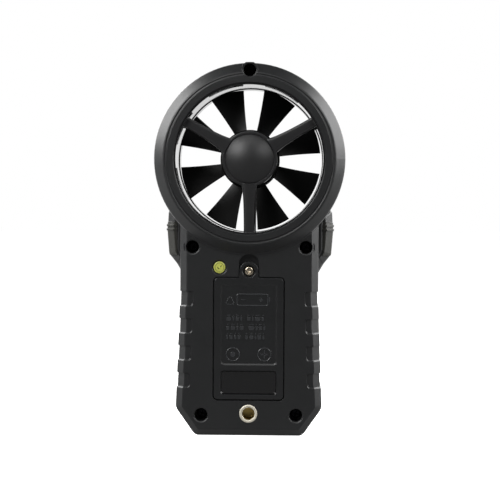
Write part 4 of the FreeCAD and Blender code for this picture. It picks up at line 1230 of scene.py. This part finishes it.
@dataclass
class Display:
    """The liquid-crystal readout: generic figures made of seven segments, with small signs round them.

    It is read from +Y, where +X is on the left. Places are measured from the panel's middle.
    """

    height: float = 0.05
    slant: float = 0.08
    rows: tuple[Figures, ...] = (
        Figures(-1.2, (5.2, 10.4), (("3", 11.5), ("8", 3.0), ("2", -7.0))),
        Figures(-11.2, (2.6, 5.2), (("2", 14.6), ("4", 10.4), ("6", 5.2), ("5", -4.4), ("1", -8.6))))
    points: tuple[tuple[float, float, float], ...] = ((-4.9, -0.9, 1.1), (6.6, -10.9, 0.6))
    fan_at: Point = (15.4, 6.6)
    drop_at: Point = (-15.2, -9.6)
    segments: dict[str, str] = field(default_factory=lambda: {
        "0": "abcdef", "1": "bc", "2": "abged", "3": "abgcd", "4": "fgbc", "5": "afgcd", "6": "afgedc",
        "7": "abc", "8": "abcdefg", "9": "abcdfg"})

    def figure(self, marks: Marks, sign: str, corner: Point, size: Point) -> list[Surface]:
        """One figure's lit segments as thin slanted hexagonal bars, mirrored in X about its corner.

        Args:
            marks: the face that it is shown on.
            sign: the figure.
            corner: the (x, z) of its lower corner, on the reader's left.
            size: its width and height.

        Returns:
            A surface for each segment.
        """
        (x, z), (w, h) = corner, size
        t, gap = w * 0.17, w * 0.05
        runs = {"a": ((0, h), (w, h)), "b": ((w, h), (w, h / 2)), "c": ((w, h / 2), (w, 0)),
                "d": ((0, 0), (w, 0)), "e": ((0, h / 2), (0, 0)), "f": ((0, h), (0, h / 2)),
                "g": ((0, h / 2), (w, h / 2))}
        parts = []
        for key in self.segments[sign]:
            a, b = (np.array(end, float) for end in runs[key])
            u = (b - a) / np.linalg.norm(b - a)
            n = np.array([-u[1], u[0]])
            a, b = a + u * gap, b - u * gap
            bar = np.array([a, a + (u + n) * t / 2, b + (n - u) * t / 2, b, b - (n + u) * t / 2,
                            a + (u - n) * t / 2])
            bar[:, 0] += bar[:, 1] * self.slant
            parts.append(marks.form(np.stack([x - bar[:, 0], z + bar[:, 1]], axis=1)))
        return parts

    def fan(self, marks: Marks) -> list[Surface]:
        """The small sign of a fan: a ring round three discs."""
        x, z = self.fan_at
        parts = [marks.band(circle((x, z), 1.7, count=40), 0.3)]
        for angle in np.radians((90.0, 210.0, 330.0)):
            disc = circle((x + 0.85 * math.cos(angle), z + 0.85 * math.sin(angle)), 0.55, count=20)
            parts.append(marks.form(disc))
        return parts

    def drop(self, marks: Marks) -> Surface:
        """The small sign of a drop: a circle whose upper half is drawn out."""
        outline = circle((0, 0), 1.1, count=28)
        outline[:, 1] *= np.where(outline[:, 1] > 0, 2.1, 1.0)
        return marks.form(outline + self.drop_at)

    def build(self) -> None:
        """Builds the figures and signs on the display panel's face."""
        box = node_box("display_panel")
        y = box.high.y - 0.01
        marks = Marks(box.middle, y, y + self.height, 0.01)
        parts: list[Surface] = []
        for row in self.rows:
            for sign, x in row.signs:
                parts += self.figure(marks, sign, (x, row.foot), row.size)
        parts += [marks.form(soft_box((x, z), (size, size), 0.1, 3)) for x, z, size in self.points]
        parts += self.fan(marks) + [self.drop(marks)]
        parts.append(marks.band(soft_box((0, 0), (39.6, 25.6), 1.0), 0.3))
        parts.append(marks.form(soft_box((0, -4.4), (37.0, 0.25), 0.1, 3)))
        make_piece("lcd_figures", parts, [LCD_INK], "housing")


@dataclass
class Keypad:
    """The printed signs on the keys and the printed lines on the fascia, all generic."""

    print_height: float = 0.03
    sunk: float = 0.005
    ease: float = 0.008

    def face(self, box: NodeBox) -> Marks:
        """The front face of a node, ready for print."""
        y = box.high.y - self.sunk
        return Marks(box.middle, y, y + self.print_height, self.ease)

    def put(self, key: str, shapes: Sequence[np.ndarray],
            bands: Sequence[tuple[np.ndarray, float]] = ()) -> None:
        """Prints a sign on a key's top.

        Args:
            key: the key's node, which is also its body.
            shapes: outlines to fill, drawn round (0, 0).
            bands: closed outlines to draw as lines, each with its width.
        """
        marks = self.face(node_box(key))
        parts = [marks.form(shape) for shape in shapes] + [marks.band(loop, width) for loop, width in bands]
        make_piece(key + "_sign", parts, [PRINT_WHITE], key)

    def signs(self) -> None:
        """Prints the keys' signs: power, a lamp, a lock, two arrowheads and two turning arrows."""
        bar = soft_box((0, 1.5), (0.5, 2.4), 0.15, 3)
        self.put("key_power", [stroke(circle((0, 0), 1.9, 125, 415), 0.5), bar])
        ways = [np.array([math.cos(a), math.sin(a)]) for a in whole_turn(8)]
        rays = [stroke(np.array([1.5 * way, 2.3 * way]), 0.35) for way in ways]
        self.put("key_light", rays, [(circle((0, 0), 0.95, count=36), 0.35)])
        shackle = stroke(circle((0, 0.5), 0.95, -5, 185), 0.4)
        self.put("key_hold", [soft_box((0, -0.6), (2.9, 2.1), 0.3, 3), shackle])
        arrow = np.array([[-1.4, -0.9], [1.4, -0.9], [0.0, 0.9]])
        self.put("key_range", [arrow + (-2.2, 0.0), -arrow + (2.2, 0.0)])
        arcs = [stroke(circle((0, 0), 1.6, start, start + 130), 0.4) for start in (20, 200)]
        tip = np.array([[-0.8, 0.0], [0.8, 0.0], [0.0, 1.1]])
        tips = [tip * s + (s * 1.6 * math.cos(math.radians(20)), -0.55 * s) for s in (1, -1)]
        self.put("key_units", arcs + tips)

    def lines(self) -> None:
        """Prints a line round the fascia and one round the display's window."""
        fascia, window = node_box("front_fascia"), node_box("display_window")
        y = fascia.high.y - self.sunk
        parts = [loop_band(soft_box(box.middle, (box.size[0] + grow, box.size[1] + grow), radius), width, y,
                           y + self.print_height)
                 for box, grow, radius, width in ((fascia, -2.4, 3.0, 0.35), (window, 2.2, 2.4, 0.5))]
        make_piece("fascia_lines", parts, [PRINT_WHITE], "housing")

    def build(self) -> None:
        """Builds a sign for each key, and the fascia's lines."""
        self.signs()
        self.lines()


# ------------------------------------------------------------------------------------------ studio
@dataclass(frozen=True)
class Softbox:
    """A rectangular lamp aimed at the head: its place and size in millimetres, and its power in watts."""

    name: str
    at: tuple[float, float, float]
    size: Point
    power: float


@dataclass
class Studio:
    """A pale floor, a soft white surround, seven softboxes and the camera."""

    camera_at: tuple[float, float, float] = (18.0, -669.0, 100.6)
    camera_to: tuple[float, float, float] = (0.3, -10.0, 82.55)
    camera_roll: float = 0.3
    lens: float = 107.0
    sensor: float = 36.0
    room: float = 0.06
    floor_reach: float = 6000.0
    floor_z: float = -0.02
    floor_glow: float = 0.85
    floor_dim: str = "#6c6c6c"
    lamps_to: tuple[float, float, float] = (0.0, 0.0, 110.0)
    lamps: tuple[Softbox, ...] = (
        Softbox("side_left", (-780, 90, 580), (560, 620), 9.0),
        Softbox("side_right", (780, 90, 480), (600, 700), 9.5),
        Softbox("front_left", (-480, -640, 560), (460, 460), 5.5),
        Softbox("front_right", (500, -640, 520), (380, 380), 2.0),
        Softbox("front_top", (0, -520, 860), (500, 300), 1.0),
        Softbox("rear_left", (-460, 640, 520), (460, 460), 4.0),
        Softbox("rear_right", (500, 620, 480), (460, 460), 4.0))

    def paper(self) -> bpy.types.Material:
        """The floor's matt white paper, with a glow of its own.

        The glow rises smoothly from just before the object to behind it, and is whole where the camera
        sees the floor directly. Other rays meet a dimmer paper, so that the floor throws little light up
        at the object.

        Returns:
            The material.
        """
        material = bpy.data.materials.new("paper_white_matt")
        material.use_nodes = True
        tree = material.node_tree
        tree.nodes.clear()
        depth = add(tree, "SeparateXYZ", links={0: add(tree, "TexCoord").outputs["Object"]}).outputs["Y"]
        rise = {"From Min": -0.07, "From Max": 0.10, "To Min": 0.02, "To Max": self.floor_glow}
        ramp = add(tree, "MapRange", {"interpolation_type": "SMOOTHSTEP", **rise}, {"Value": depth})
        seen = add(tree, "LightPath").outputs["Is Camera Ray"]
        paper = add(tree, "BsdfDiffuse", {"Color": linear("#f4f4f4")})
        dim = add(tree, "BsdfDiffuse", {"Color": linear(self.floor_dim)})
        shade = add(tree, "MixShader", links={0: seen, 1: dim.outputs[0], 2: paper.outputs[0]})
        direct = add(tree, "Math", {"operation": "MULTIPLY", 1: self.floor_glow}, {0: seen})
        lit = add(tree, "Math", {"operation": "MAXIMUM"}, {0: ramp.outputs[0], 1: direct.outputs[0]})
        glow = add(tree, "Emission", links={"Strength": lit.outputs[0]})
        both = add(tree, "AddShader", links={0: shade.outputs[0], 1: glow.outputs[0]})
        add(tree, "OutputMaterial", links={"Surface": both.outputs[0]})
        return material

    def floor(self) -> None:
        """A large square floor under the base, as a flat grid whose middle is at the origin."""
        reach = np.linspace(-self.floor_reach, self.floor_reach, 9)
        x, y = np.meshgrid(reach, reach, indexing="ij")
        surface = from_grid(points_at(x, y, self.floor_z), close_columns=False)
        mesh = bpy.data.meshes.new("floor")
        mesh.from_pydata((surface.points * MM).tolist(), [], surface.quads[:, ::-1].tolist())
        mesh.materials.append(self.paper())
        floor = bpy.data.objects.new("floor", mesh)
        bpy.context.scene.collection.objects.link(floor)

    def surround(self) -> None:
        """A white sweep behind the object and a dim room before it; the camera itself sees plain white."""
        world = bpy.data.worlds.new("white_sweep")
        world.use_nodes = True
        tree = world.node_tree
        tree.nodes.clear()
        depth = add(tree, "SeparateXYZ", links={0: add(tree, "TexCoord").outputs["Generated"]}).outputs["Y"]
        fall = add(tree, "MapRange", {"interpolation_type": "SMOOTHSTEP", "From Min": 0.3, "From Max": 0.92,
                                      "To Min": self.room, "To Max": 1.0}, {"Value": depth})
        seen = add(tree, "LightPath").outputs["Is Camera Ray"]
        bright = add(tree, "Math", {"operation": "MAXIMUM"}, {0: fall.outputs[0], 1: seen})
        back = add(tree, "Background", {"Color": (1, 1, 1, 1)}, {"Strength": bright.outputs[0]})
        add(tree, "OutputWorld", links={"Surface": back.outputs[0]})
        bpy.context.scene.world = world

    def light(self, softbox: Softbox) -> None:
        """Hangs a softbox facing the head, unseen by the camera.

        Args:
            softbox: the lamp.
        """
        data = bpy.data.lights.new(softbox.name, "AREA")
        data.shape = "RECTANGLE"
        data.size, data.size_y = softbox.size[0] * MM, softbox.size[1] * MM
        data.energy = softbox.power
        lamp = bpy.data.objects.new(softbox.name, data)
        lamp.location = Vector(softbox.at) * MM
        aim = Vector(self.lamps_to) * MM - lamp.location
        lamp.rotation_euler = aim.to_track_quat("-Z", "Y").to_euler()
        lamp.visible_camera = False
        bpy.context.scene.collection.objects.link(lamp)

    def camera(self) -> None:
        """The camera, a little to the right of the axis and turned a touch about its view."""
        data = bpy.data.cameras.new("camera")
        data.lens = self.lens
        data.sensor_width = self.sensor
        data.clip_start, data.clip_end = 0.01, 50.0
        camera = bpy.data.objects.new("camera", data)
        camera.location = Vector(self.camera_at) * MM
        aim = (Vector(self.camera_to) - Vector(self.camera_at)).to_track_quat("-Z", "Y")
        roll = Quaternion((0.0, 0.0, 1.0), math.radians(self.camera_roll))
        camera.rotation_euler = (aim @ roll).to_euler()
        bpy.context.scene.collection.objects.link(camera)
        bpy.context.scene.camera = camera

    def build(self) -> None:
        """Sets the scene round the object."""
        self.floor()
        self.surround()
        for softbox in self.lamps:
            self.light(softbox)
        self.camera()
        bpy.context.scene.view_settings.view_transform = "Standard"


def main() -> None:
    """Sets the studio and dresses the object part by part, reporting each part as it is in place."""
    logging.basicConfig(level=logging.INFO, format="%(name)s %(message)s")
    for maker in (Studio(), Carried(), Duct(), Vane(), Fasteners(), TripodSocket(), Seal(), CoverRelief(),
                  BatteryPrint(), Display(), Keypad()):
        maker.build()
        LOG.info("%s is in place", type(maker).__name__)


if __name__ == "__main__":
    main()
